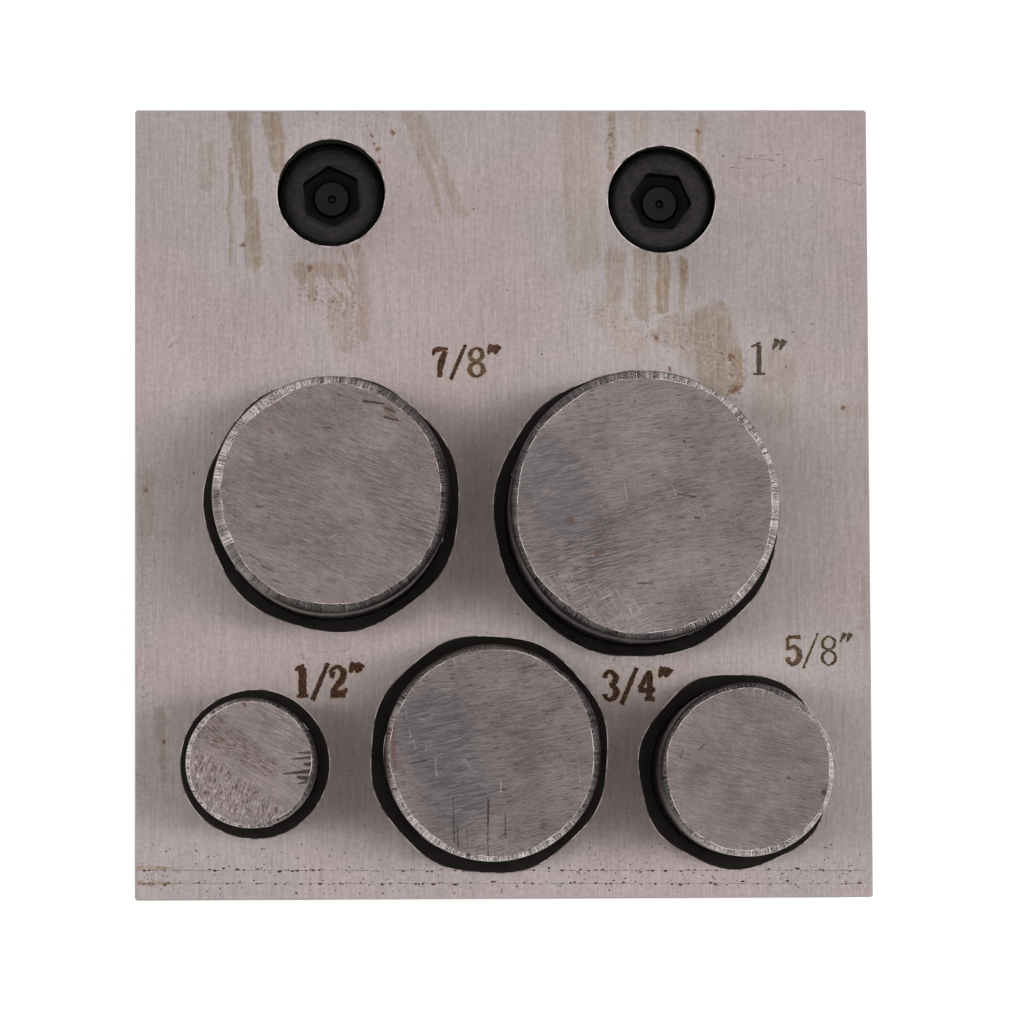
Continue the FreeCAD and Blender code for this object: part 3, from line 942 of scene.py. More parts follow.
GLYPHS = {
    "1": (
        ((0.24, 0.03, 0.23), (0.24, 0.91, 0.23)),
        ((0.00, 0.85, 0.04), (0.12, 0.90, 0.14), (0.30, 0.98, 0.13)),
        ((0.05, 0.05, 0.10), (0.43, 0.05, 0.10)),
    ),
    "2": (
        (
            (0.11, 0.70, 0.15), (0.07, 0.83, 0.12), (0.26, 0.95, 0.11), (0.45, 0.80, 0.18),
            (0.41, 0.58, 0.20), (0.25, 0.37, 0.17), (0.11, 0.20, 0.14),
        ),
        ((0.04, 0.72, 0.20), (0.19, 0.70, 0.18)),
        ((0.05, 0.11, 0.22), (0.52, 0.12, 0.22)),
        ((0.50, 0.14, 0.12), (0.54, 0.30, 0.06)),
    ),
    "3": (
        (
            (0.09, 0.75, 0.15), (0.14, 0.90, 0.11), (0.30, 0.94, 0.11), (0.44, 0.77, 0.17),
            (0.38, 0.60, 0.15), (0.24, 0.53, 0.09),
        ),
        (
            (0.24, 0.53, 0.09), (0.40, 0.44, 0.15), (0.45, 0.26, 0.18), (0.30, 0.07, 0.13),
            (0.13, 0.12, 0.11), (0.09, 0.25, 0.15),
        ),
    ),
    "4": (
        ((0.38, 0.97, 0.06), (0.30, 0.80, 0.15), (0.07, 0.40, 0.13)),
        ((0.40, 0.98, 0.06), (0.41, 0.80, 0.15), (0.38, 0.06, 0.19)),
        ((0.03, 0.35, 0.14), (0.58, 0.37, 0.14)),
        ((0.22, 0.08, 0.13), (0.56, 0.08, 0.13)),
    ),
    "5": (
        ((0.09, 0.94, 0.11), (0.50, 0.94, 0.11)),
        ((0.09, 0.93, 0.11), (0.07, 0.52, 0.09)),
        (
            (0.08, 0.55, 0.08), (0.26, 0.63, 0.12), (0.43, 0.50, 0.17), (0.45, 0.26, 0.18),
            (0.29, 0.07, 0.14), (0.12, 0.12, 0.12), (0.08, 0.28, 0.15),
        ),
    ),
    "7": (
        ((0.05, 0.72, 0.09), (0.07, 0.86, 0.13), (0.22, 0.93, 0.15), (0.52, 0.93, 0.07)),
        ((0.43, 0.87, 0.14), (0.34, 0.60, 0.20), (0.27, 0.35, 0.19), (0.25, 0.02, 0.13)),
    ),
    "8": (
        (
            (0.29, 0.53, 0.10), (0.10, 0.62, 0.15), (0.09, 0.82, 0.15), (0.28, 0.96, 0.08),
            (0.46, 0.83, 0.15), (0.44, 0.63, 0.15), (0.26, 0.52, 0.11),
        ),
        (
            (0.29, 0.52, 0.10), (0.10, 0.40, 0.15), (0.08, 0.18, 0.17), (0.28, 0.03, 0.08),
            (0.48, 0.18, 0.17), (0.46, 0.40, 0.15), (0.26, 0.52, 0.10),
        ),
    ),
    "/": (
        ((-0.03, -0.08, 0.14), (0.46, 1.07, 0.12)),
    ),
    "inch": (
        ((0.04, 0.77, 0.07), (0.20, 1.07, 0.24)),
        ((0.24, 0.77, 0.07), (0.40, 1.06, 0.24)),
    ),
    "blot": (
        ((0.02, 0.76, 0.07), (0.10, 0.92, 0.22), (0.17, 1.08, 0.22)),
        ((0.22, 0.76, 0.10), (0.30, 0.90, 0.22), (0.39, 1.05, 0.24)),
        ((0.12, 0.88, 0.14), (0.20, 0.93, 0.26), (0.30, 0.98, 0.26)),
    ),
}

# Marks: lower left corner in millimetres, cap height, reach of the tan halo that rust has left, and
# each glyph with its shift in cap heights and the weight of its strokes
SIZE_MARKS = (
    ((-6.72, 11.96), 2.93, 0.16, (("7", 0, 1.1), ("/", 0.63, 1), ("8", 1.17, 1), ("blot", 1.8, 0.9))),
    ((23.76, 12.10), 3.22, 0.07, (("1", 0, 0.62), ("inch", 0.61, 0.95))),
    ((-19.85, -18.52), 3.08, 0.18, (("1", 0, 1.1), ("/", 0.57, 1.15), ("2", 1.05, 1.1), ("blot", 1.68, 1))),
    ((9.34, -19.00), 3.02, 0.22, (("3", 0, 1.25), ("/", 0.64, 1.2), ("4", 1.11, 1.15), ("blot", 1.77, 1))),
    ((26.82, -15.67), 2.93, 0.09, (("5", 0, 1.1), ("/", 0.61, 0.5), ("8", 1.14, 0.62), ("inch", 1.75, 0.8))),
)
STROKE_STEP = 0.10
STROKE_RAGGED = 0.05
HALO_EVERY = 3
HALO_RAGGED = 0.45
MARK_WALL_DEPTH = 0.05
MARK_DEPTH = 0.12

# Surfaces of the guide plate, in the order of its materials
# RIM carries the painted highlight of the thin rims and the rubbed bright scratches
GROUND, BLACK, SIDE, RIM, HALO, SCRIBED, ETCHED = range(7)


def between(a, b, c, d, f):
    """Value at share f of the way from b to c on a smooth curve through four values."""
    return 0.5 * (2 * b + (c - a) * f + (2 * a - 5 * b + 4 * c - d) * f**2 + (3 * b - a - 3 * c + d) * f**3)


def catmull_rom(points, steps):
    """Smooth run through (x, y, width) points, with steps samples on each span."""
    padded = [points[0], *points, points[-1]]
    run = []
    for span in zip(padded, padded[1:], padded[2:], padded[3:]):
        for step in range(steps):
            run.append(tuple(between(*values, step / steps) for values in zip(*span)))
    return run + [points[-1]]


NARROWEST_LOOP = 0.008
PIT_CORNERS = 7
PIT_WALL_SHARE = 0.4


class Sunk:
    """Shapes to be sunk into a flat face: loops with a surface, each of their points with a depth."""

    def __init__(self):
        self.points = []
        self.loops = []

    def add_point(self, x, y, depth):
        self.points.append((x, y, depth))
        return len(self.points) - 1

    def add_loop(self, indices, surface):
        """Keeps a triangle that turns left, turns round one that doesn't, and drops a sliver."""
        corners = [Vector(self.points[i][:2]) for i in indices]
        sides = [b - a for a, b in zip(corners, corners[1:] + corners[:1])]
        turn = sides[0].x * sides[1].y - sides[0].y * sides[1].x
        if abs(turn) / max(side.length for side in sides) > NARROWEST_LOOP:
            self.loops.append((indices if turn > 0 else indices[::-1], surface))

    def stroke(self, run, wall, middle, ragged, draw, surface=ETCHED):
        """A groove along (x, y, width) points, deepest along the middle, with ragged edges."""
        rungs = []
        for number, (x, y, width) in enumerate(run):
            before, after = run[max(number - 1, 0)], run[min(number + 1, len(run) - 1)]
            along = Vector((after[0] - before[0], after[1] - before[1])).normalized()
            side = Vector((-along.y, along.x)) * width / 2
            rung = []
            for share, depth in ((1, wall), (0, middle), (-1, wall)):
                dx = share * side.x + draw.uniform(-ragged, ragged)
                dy = share * side.y + draw.uniform(-ragged, ragged)
                rung.append(self.add_point(x + dx, y + dy, depth * draw.uniform(0.7, 1.2)))
            rungs.append(rung)
        for rung, following in zip(rungs, rungs[1:]):
            for left in (0, 1):
                a, b = rung[left], rung[left + 1]
                c, d = following[left + 1], following[left]
                self.add_loop([a, b, c], surface)
                self.add_loop([a, c, d], surface)

    def pit(self, x, y, radius, stretch, depth, draw):
        """A small ragged pit, deepest at its middle and stretched along X."""
        middle = self.add_point(x, y, depth)
        rim = []
        for number in range(PIT_CORNERS):
            angle = 2 * math.pi * number / PIT_CORNERS
            reach = radius * draw.uniform(0.6, 1.2)
            place = (x + stretch * reach * math.cos(angle), y + reach * math.sin(angle))
            rim.append(self.add_point(*place, depth * PIT_WALL_SHARE))
        for corner, following in zip(rim, rim[1:] + rim[:1]):
            self.add_loop([middle, corner, following], ETCHED)


def cut_size_marks(sunk, draw):
    for (left, y), height, halo, glyphs in SIZE_MARKS:
        for glyph, shift, weight in glyphs:
            x = left + shift * height
            for points in GLYPHS[glyph]:
                placed = [(x + a * height, y + b * height, w * height * weight) for a, b, w in points]
                length = sum(math.dist(p[:2], q[:2]) for p, q in zip(placed, placed[1:]))
                steps = max(2, round(length / STROKE_STEP / (len(placed) - 1)))
                run = catmull_rom(placed, steps)
                sunk.stroke(run, MARK_WALL_DEPTH, MARK_DEPTH, STROKE_RAGGED, draw)
                sparse = run[:-1:HALO_EVERY] + run[-1:]
                wider = [(a, b, width + 2 * halo) for a, b, width in sparse]
                sunk.stroke(wider, 0.0, 0.0, halo * HALO_RAGGED, draw, HALO)


# Two lines scribed along the front edge, rusted through in short dashes: distance in from the edge at
# the left and at the right
SCRIBED_LINES = ((2.87, 2.55), (1.64, 1.31))
SCRIBE_MARGIN = 0.5
SCRIBE_STEP = 0.5
SCRIBE_WIDTH = 0.05
SCRIBE_DEPTH = 0.02
SCRIBE_WALL_DEPTH = SCRIBE_DEPTH * 0.4
DASH_MARGIN = 0.4
DASH_GAPS = (0.2, 1.5)
DASH_RADII = (0.04, 0.12)
DASH_STRETCHES = (1.0, 2.4)
DASH_SPREAD = 0.11
PIT_RADII = (0.035, 0.10)
PIT_DEPTH = 0.05
PIT_SIDE_MARGIN = 0.6
PIT_FRONT_MARGIN = 0.5
FRONT_BAND = 5.5
FRONT_PITS = 230
SPREAD_PITS = 90
MOUTH_CLEARANCE = 1.9


def score(sunk, draw, points, width, wander, swings, ragged, surface):
    """A line scored through some points, which wanders across and swings in width."""
    run = [(x, y + draw.uniform(-wander, wander), width * draw.uniform(*swings)) for x, y in points]
    sunk.stroke(run, SCRIBE_WALL_DEPTH, SCRIBE_DEPTH, ragged, draw, surface)


def cut_scribed_lines(sunk, draw):
    left, right, front = GUIDE_LOW.x + SCRIBE_MARGIN, GUIDE_HIGH.x - SCRIBE_MARGIN, GUIDE_LOW.y
    for at_left, at_right in SCRIBED_LINES:

        def line_y(x):
            return front + at_left + (at_right - at_left) * (x - left) / (right - left)

        steps = round((right - left) / SCRIBE_STEP)
        along = [left + (right - left) * step / steps for step in range(steps + 1)]
        points = [(x, line_y(x)) for x in along]
        score(sunk, draw, points, SCRIBE_WIDTH, 0.015, (0.3, 1.3), 0.008, SCRIBED)
        x = left + DASH_MARGIN
        while x < right - DASH_MARGIN:
            radius, stretch = draw.uniform(*DASH_RADII), draw.uniform(*DASH_STRETCHES)
            sunk.pit(x, line_y(x) + draw.gauss(0, DASH_SPREAD), radius, stretch, PIT_DEPTH, draw)
            x += draw.uniform(*DASH_GAPS)


def cut_pits(sunk, draw):
    """Small corrosion pits, crowded along the front edge and few elsewhere."""
    for count, top in ((FRONT_PITS, GUIDE_LOW.y + FRONT_BAND), (SPREAD_PITS, GUIDE_HIGH.y)):
        for _ in range(count):
            x = draw.uniform(GUIDE_LOW.x + PIT_SIDE_MARGIN, GUIDE_HIGH.x - PIT_SIDE_MARGIN)
            y = draw.uniform(GUIDE_LOW.y + PIT_FRONT_MARGIN, top)
            radius = draw.uniform(*PIT_RADII)
            gaps = [math.dist((x, y), axis_of(n)) - width_of(n) / 2 for n in PUNCH_NODES + SCREW_NODES]
            if min(gaps) > MOUTH_CLEARANCE:
                sunk.pit(x, y, radius, 1.0, PIT_DEPTH * radius / PIT_RADII[1], draw)


# Scratches on the top, dark ones scored into it and bright ones rubbed: start, end, width and surface
SCRATCH_MARKS = (
    ((22.6, 33.2), (26.8, 33.35), 0.08, SCRIBED),
    ((22.8, 33.05), (26.2, 32.8), 0.11, SCRIBED),
    ((21.9, 32.15), (23.3, 31.95), 0.14, SCRIBED),
    ((25.0, 31.1), (27.2, 32.3), 0.12, SCRIBED),
    ((29.3, 32.65), (30.9, 32.9), 0.14, SCRIBED),
    ((28.2, 30.2), (28.6, 31.3), 0.12, SCRIBED),
    ((31.7, 31.2), (34.5, 30.4), 0.10, SCRIBED),
    ((-30.0, 20.6), (-29.3, 19.2), 0.07, RIM),
    ((-29.3, 19.2), (-27.5, 18.4), 0.06, RIM),
    ((-31.8, 14.8), (-31.4, 15.3), 0.12, RIM),
    ((-31.4, 15.3), (-30.8, 15.4), 0.07, RIM),
    ((-25.6, 15.9), (-25.8, 14.6), 0.07, RIM),
    ((-24.4, 16.4), (-24.5, 15.4), 0.08, RIM),
)
SCRATCH_STEP = 0.3


def cut_scratches(sunk, draw):
    for start, end, width, surface in SCRATCH_MARKS:
        start, end = Vector(start), Vector(end)
        steps = max(2, round((end - start).length / SCRATCH_STEP))
        points = [start.lerp(end, step / steps) for step in range(steps + 1)]
        score(sunk, draw, points, width, 0.03, (0.4, 1.2), 0.015, surface)


# --------------------------------------------------------------------------------------------------
# Guide plate
# --------------------------------------------------------------------------------------------------

EDGE_BREAK = 0.2
EDGE_WANDER = 0.35
CORNER_BREAK = 0.2
BORE_CLEARANCE = 0.05
COUNTERBORE_RADIUS = 5.15
RIM_WIDTH = 0.08
RIM_DROP = 0.012
SCREW_HEAD_HEIGHT = 6.0
CLEARANCE_HOLE_RADIUS = 3.3
DOWEL_HOLE_RADIUS = 2.51
DOWEL_HOLE_SPARE_DEPTH = 1.0
ROUND_STEPS = 180
INSIDE_ONLY = 1
CUT_TOLERANCE = 1e-5
WELD_DISTANCE = 2e-4
OUTLINE_STEP = 1.4

# Mouths of the guide bores, countersunk by hand: how far they reach past the bore, how much that
# swings, the number of lobes and the turn of the first one in degrees
MOUTHS = {
    "half_inch_punch": (1.0, 0.03, 5, 0),
    "five_eighths_punch": (1.2, 0.15, 7, 78),
    "three_quarter_punch": (1.25, 0.13, 8, 150),
    "seven_eighths_punch": (1.08, 0.14, 7, 153),
    "one_inch_punch": (1.07, 0.09, 9, 99),
}


def ring(centre, radius):
    """Points of a closed round loop, anticlockwise from above; radius is a function of the turn."""
    turns = [2 * math.pi * step / ROUND_STEPS for step in range(ROUND_STEPS)]
    return [(centre.x + radius(a) * math.cos(a), centre.y + radius(a) * math.sin(a)) for a in turns]


def circle(centre, radius):
    return ring(centre, lambda angle: radius)


def plate_outline(inset):
    """Anticlockwise outline of the plate; inset gives the distance in from the edge at a point."""
    x, y, c = GUIDE_HIGH.x, GUIDE_HIGH.y, CORNER_BREAK
    corners = [(x, -y + c), (x, y - c), (x - c, y), (-x + c, y)]
    corners += [(-x, y - c), (-x, -y + c), (-x + c, -y), (x - c, -y)]
    points = []
    for start, end in zip(corners, corners[1:] + corners[:1]):
        start, end = Vector(start), Vector(end)
        inward = Vector((start.y - end.y, end.x - start.x)).normalized()
        steps = max(1, round((end - start).length / OUTLINE_STEP))
        for step in range(steps):
            here = start.lerp(end, step / steps)
            points.append(tuple(here + inward * inset(here)))
    return points


def edge_break_at(point):
    """Width of the broken edge, which wanders a little along the plate."""
    wander = noise.noise(Vector((point.x * EDGE_WANDER, point.y * EDGE_WANDER, 0.0)))
    return EDGE_BREAK * (0.7 + 0.5 * wander)


def flat_face(mesh, outline, holes, height, upward, sunk=None):
    """
    Fills an outline less its holes at one height, with any sunk shapes let into it. The faces handed in
    for the cut are the outline, then the holes, then the sunk loops, and each new face knows them all.
    """
    sunk = sunk or Sunk()
    points = [Vector(p) for loop in (outline, *holes) for p in loop]
    faces, start = [], 0
    for loop in (outline, *holes):
        faces.append(list(range(start, start + len(loop))))
        start += len(loop)
    depths = [0.0] * len(points) + [depth for _, _, depth in sunk.points]
    points += [Vector((x, y)) for x, y, _ in sunk.points]
    faces += [[i + start for i in loop] for loop, _ in sunk.loops]
    cut = delaunay_2d_cdt(points, [], faces, INSIDE_ONLY, CUT_TOLERANCE)
    out_points, _, out_faces, from_points, _, from_faces = cut
    hole_faces = set(range(1, len(holes) + 1))
    first_sunk = len(holes) + 1
    upper, lower = {}, {}

    def vertex(index, low):
        table = lower if low else upper
        if index not in table:
            depth = max((depths[i] for i in from_points[index]), default=0.0) or MARK_WALL_DEPTH
            x, y = out_points[index]
            table[index] = mesh.verts.new((x, y, height - (depth if low else 0.0)))
        return table[index]

    low_edges = {}
    for corners, sources in zip(out_faces, from_faces):
        if 0 not in sources or hole_faces.intersection(sources):
            continue
        inside = (sunk.loops[source - first_sunk] for source in sources if source >= first_sunk)
        surface = max((kind for _, kind in inside), default=GROUND)
        low = surface > HALO
        order = list(corners) if upward else list(corners)[::-1]
        face = mesh.faces.new([vertex(i, low) for i in order])
        face.material_index = surface
        if low:
            for a, b in zip(order, order[1:] + order[:1]):
                low_edges[(a, b)] = surface
    # A wall stands wherever a sunk face has no sunk neighbour
    for (a, b), surface in low_edges.items():
        if (b, a) not in low_edges:
            wall = mesh.faces.new([vertex(b, True), vertex(a, True), vertex(a, False), vertex(b, False)])
            wall.material_index = surface


def strip(mesh, loops, heights, surfaces, inward=True):
    """Joins loops of equal length, given from top to bottom, with bands of quads."""
    rings = []
    for loop, height in zip(loops, heights):
        levels = height if isinstance(height, list) else [height] * len(loop)
        rings.append([mesh.verts.new((x, y, z)) for (x, y), z in zip(loop, levels)])
    for upper, lower, surface in zip(rings, rings[1:], surfaces):
        for i, (a, b) in enumerate(zip(upper, upper[1:] + upper[:1])):
            c, d = lower[(i + 1) % len(lower)], lower[i]
            face = mesh.faces.new([a, b, c, d] if inward else [d, c, b, a])
            face.material_index = surface


def guide_plate_piece(materials, draw):
    """The guide plate with its holes, its etched sizes, the scribed lines, pits and scratches."""
    mesh = bmesh.new()
    mouths_above, mouths_below = [], []
    for node in PUNCH_NODES:
        centre, bore = axis_of(node), width_of(node) / 2 + BORE_CLEARANCE
        reach, amount, lobes, first = MOUTHS[node]

        def mouth_radius(angle, extra=0.0):
            return bore + reach + extra + amount * math.cos(lobes * angle - math.radians(first))

        rim = ring(centre, lambda angle: mouth_radius(angle, RIM_WIDTH))
        loops = [rim, ring(centre, mouth_radius), circle(centre, bore), circle(centre, bore)]
        strip(mesh, loops, [TOP, TOP - RIM_DROP, TOP - reach, SLOT_ROOF], [RIM, BLACK, BLACK])
        mouths_above.append(loops[0])
        mouths_below.append(loops[-1])
    for node in SCREW_NODES:
        centre = axis_of(node)
        seat = node_box(node)[1].z - SCREW_HEAD_HEIGHT
        rim = circle(centre, COUNTERBORE_RADIUS + RIM_WIDTH)
        wide, narrow = circle(centre, COUNTERBORE_RADIUS), circle(centre, CLEARANCE_HOLE_RADIUS)
        levels = [TOP, TOP - RIM_DROP, seat, seat, SLOT_ROOF]
        strip(mesh, [rim, wide, wide, narrow, narrow], levels, [RIM, BLACK, BLACK, BLACK])
        mouths_above.append(rim)
        mouths_below.append(narrow)
    for node in DOWEL_NODES:
        centre, end = axis_of(node), node_box(node)[1].z + DOWEL_HOLE_SPARE_DEPTH
        wide = circle(centre, DOWEL_HOLE_RADIUS)
        strip(mesh, [wide, wide], [end, SLOT_ROOF], [BLACK])
        cap = mesh.faces.new([mesh.verts.new((x, y, end)) for x, y in reversed(wide)])
        cap.material_index = BLACK
        mouths_below.append(wide)
    sunk = Sunk()
    cut_size_marks(sunk, draw)
    cut_scribed_lines(sunk, draw)
    cut_pits(sunk, draw)
    cut_scratches(sunk, draw)
    outer = plate_outline(lambda point: 0.0)
    broken = plate_outline(edge_break_at)
    breaks = [math.dist(a, b) for a, b in zip(outer, broken)]
    flat_face(mesh, broken, mouths_above, TOP, True, sunk)
    flat_face(mesh, broken, mouths_below, SLOT_ROOF, False)
    under_top = [TOP - b for b in breaks]
    over_roof = [SLOT_ROOF + b for b in breaks]
    levels = [TOP, under_top, over_roof, SLOT_ROOF]
    strip(mesh, [broken, outer, outer, broken], levels, [SIDE] * 3, inward=False)
    bmesh.ops.remove_doubles(mesh, verts=mesh.verts, dist=WELD_DISTANCE)
    bmesh.ops.scale(mesh, vec=(MM, MM, MM), verts=mesh.verts)
    data = bpy.data.meshes.new("guide_plate_finished")
    mesh.to_mesh(data)
    mesh.free()
    return finished_piece(data, materials)


SHARP_ANGLE = 25.0
PLAN_SCALE = 10


def new_object(name, data):
    thing = bpy.data.objects.new(name, data)
    bpy.context.scene.collection.objects.link(thing)
    return thing


def finished_piece(data, materials=()):
    """An object for a mesh that is in metres and in place, smooth but for its sharp edges."""
    data.shade_smooth()
    data.set_sharp_from_angle(angle=math.radians(SHARP_ANGLE))
    plan = data.uv_layers.new(name="plan")
    for loop, corner in zip(data.loops, plan.data):
        corner.uv = data.vertices[loop.vertex_index].co.xy * PLAN_SCALE
    for material in materials:
        data.materials.append(material)
    return new_object(data.name, data)


# --------------------------------------------------------------------------------------------------
# Turned pieces, grown from a profile by geometry trees. Inputs are in millimetres.
# --------------------------------------------------------------------------------------------------

MERGE_DISTANCE = 1e-3
CUTTING_EDGE = 0.05
SOFT_EDGE = 0.25
FACE_EDGE = 0.05

# Section of the bevel from the side to the struck face, as shares of its width and of its drop, and
# the rings of points before and after it
RINGS_BELOW_BEVEL = 4
RINGS_ABOVE_BEVEL = 2
BEVEL_CURVE = ((0.0, 1.0), (0.08, 0.74), (0.3, 0.42), (0.64, 0.14), (1.0, 0.0))


def turned_surface(t, segments, rings, profile, turn=0.0, girth=1.0, painted_highlight_turn=0.0):
    """
    A grid wrapped round Z. profile(ring, angle) gives radius and height for the rings of points, from
    the middle of the underside outwards and up. Each band between two rings keeps its number, and each
    point its place on a circle of radius girth, with the turn of the bevel's painted highlight as its Z.
    """
    grid = t.add("GeometryNodeMeshGrid")
    t.feed(grid.inputs["Vertices X"], t.whole("ADD", segments, 1))
    t.feed(grid.inputs["Vertices Y"], rings)
    index = t.add("GeometryNodeInputIndex").outputs[0]
    number = t.whole("MODULO", index, rings)
    column = t.whole("DIVIDE", index, rings)
    angle = t.times(t.over(column, segments), 2 * math.pi)
    radius, height = profile(number, angle)
    turned = t.plus(angle, turn)
    cosine, sine = t.math("COSINE", turned), t.math("SINE", turned)
    place = t.combine(t.times(radius, cosine), t.times(radius, sine), height)
    surface = t.shape("GeometryNodeSetPosition", grid.outputs["Mesh"], Position=place)
    band = t.whole("MODULO", index, t.whole("SUBTRACT", rings, 1))
    spoke = t.combine(t.times(cosine, girth), t.times(sine, girth), painted_highlight_turn)
    for name, kind, domain, value in (
        ("band", "FLOAT", "FACE", band),
        ("spoke", "FLOAT_VECTOR", "POINT", spoke),
    ):
        surface = t.shape(
            "GeometryNodeStoreNamedAttribute", surface, data_type=kind, domain=domain, Name=name, Value=value
        )
    return surface


def close_up(t, surface, place, finishes, result):
    """Closes the seam and the poles, sets the piece in place and gives each band its material."""
    surface = t.shape("GeometryNodeMergeByDistance", surface, Distance=MERGE_DISTANCE)
    moved = t.vector_math("SCALE", place, MM)
    surface = t.shape("GeometryNodeTransform", surface, Translation=moved, Scale=(MM, MM, MM))
    surface = t.shape("GeometryNodeRealizeInstances", surface)
    named = t.add("GeometryNodeInputNamedAttribute", data_type="FLOAT")
    named.inputs["Name"].default_value = "band"
    for material, lowest, highest in finishes:
        middle, reach = (lowest + highest) / 2, (highest - lowest) / 2 + 0.1
        chosen = t.math("COMPARE", named.outputs["Attribute"], middle, reach)
        surface = t.shape("GeometryNodeSetMaterial", surface, Selection=chosen, Material=material)
    t.feed(result, surface)


def make_punch_tree():
    """A punch with a sharp cutting end below and an uneven bevel round the struck end."""
    group, t, given, out = new_group(
        "turned_punch",
        "GeometryNodeTree",
        {
            "Place": (0.0, 0.0, 0.0),
            "Radius": 10.0,
            "Length": 40.0,
            "Bevel Width": 0.6,
            "Bevel Drop": 0.8,
            "Unevenness": 0.3,
            # Turn of the bevel's painted highlight, the side painted lighter
            "Bright Side": 0.0,
            "Seed": 0.0,
            "Segments": 360,
            "Side": "NodeSocketMaterial",
            "Bevel": "NodeSocketMaterial",
            "Edge": "NodeSocketMaterial",
            "End": "NodeSocketMaterial",
        },
        {"Geometry": "NodeSocketGeometry"},
    )

    def profile(number, angle):
        radius, length = given["Radius"], given["Length"]
        around = t.combine(t.math("COSINE", angle), t.math("SINE", angle), given["Seed"])
        broad = t.noise(around, scale=1.3, detail=2.0)[0]
        jitter = t.noise(around, scale=22.0, detail=2.0)[0]
        sway = t.times(swing(t, broad, 1.0), given["Unevenness"])
        shake = t.times(swing(t, jitter, 0.16), given["Unevenness"])
        share = t.plus(1.0, t.plus(sway, shake))
        width = t.times(given["Bevel Width"], share)
        drop = t.times(given["Bevel Drop"], t.minus(1.0, shake))
        under_bevel = t.minus(length, t.plus(drop, SOFT_EDGE))
        radii = [0.0, t.minus(radius, CUTTING_EDGE), radius, radius]
        heights = [0.0, 0.0, CUTTING_EDGE, under_bevel]
        for inwards, down in BEVEL_CURVE:
            radii.append(t.minus(radius, t.times(width, inwards)))
            heights.append(t.minus(length, t.times(drop, down)))
        radii += [t.minus(radii[-1], FACE_EDGE), 0.0]
        return t.pick(number, radii), t.pick(number, [*heights, length, length])

    rings = RINGS_BELOW_BEVEL + len(BEVEL_CURVE) + RINGS_ABOVE_BEVEL
    girth, painted_highlight_turn = given["Radius"], given["Bright Side"]
    surface = turned_surface(t, given["Segments"], rings, profile, girth=girth, painted_highlight_turn=painted_highlight_turn)
    end_band = rings - 2
    finishes = (
        (given["Side"], 0, RINGS_BELOW_BEVEL),
        (given["Bevel"], RINGS_BELOW_BEVEL + 1, end_band - 2),
        (given["Edge"], end_band - 1, end_band - 1),
        (given["End"], end_band, end_band),
    )
    close_up(t, surface, given["Place"], finishes, out["Geometry"])
    return group


# Cap screws, M6: head and socket as (radius, height above the seat), from the shank outwards, up and
# down into the socket, where HEXAGON stands for the radius of the six flats
HEXAGON = None
SOCKET_MOUTH_RADIUS = 3.05
SOCKET_CORNER_LIMIT = 2.93
SOCKET_FLAT = 2.62
HEAD_PROFILE = (
    (3.0, 0.0),
    (4.75, 0.0),
    (5.0, 0.25),
    (5.0, 5.55),
    (4.88, 5.8),
    (4.42, 6.0),
    (SOCKET_MOUTH_RADIUS, 6.0),
    (HEXAGON, 6.0),
    (HEXAGON, 3.15),
    (2.3, 3.1),
    (1.8, 3.2),
    (1.7, 3.75),
    (1.6, 3.85),
    (0.95, 3.8),
    (0.4, 3.66),
    (0.22, 3.2),
    (0.0, 3.1),
)
# Places in that profile: the ring at the mouth of the hexagon, and the first bands of the rounded
# rim, of the walls of the socket and of its floor
MOUTH_RING = 7
FIRST_RIM_BAND = 3
FIRST_DARK_BAND = 7
FIRST_FLOOR_BAND = 11
THREAD_PITCH = 1.0
THREAD_DEPTH = 0.55
RINGS_PER_TURN = 8
PLAIN_NECK = 1.6
END_RADIUS = 2.3
SCREW_LENGTH = 16.0
SHANK_RADIUS = 3.0


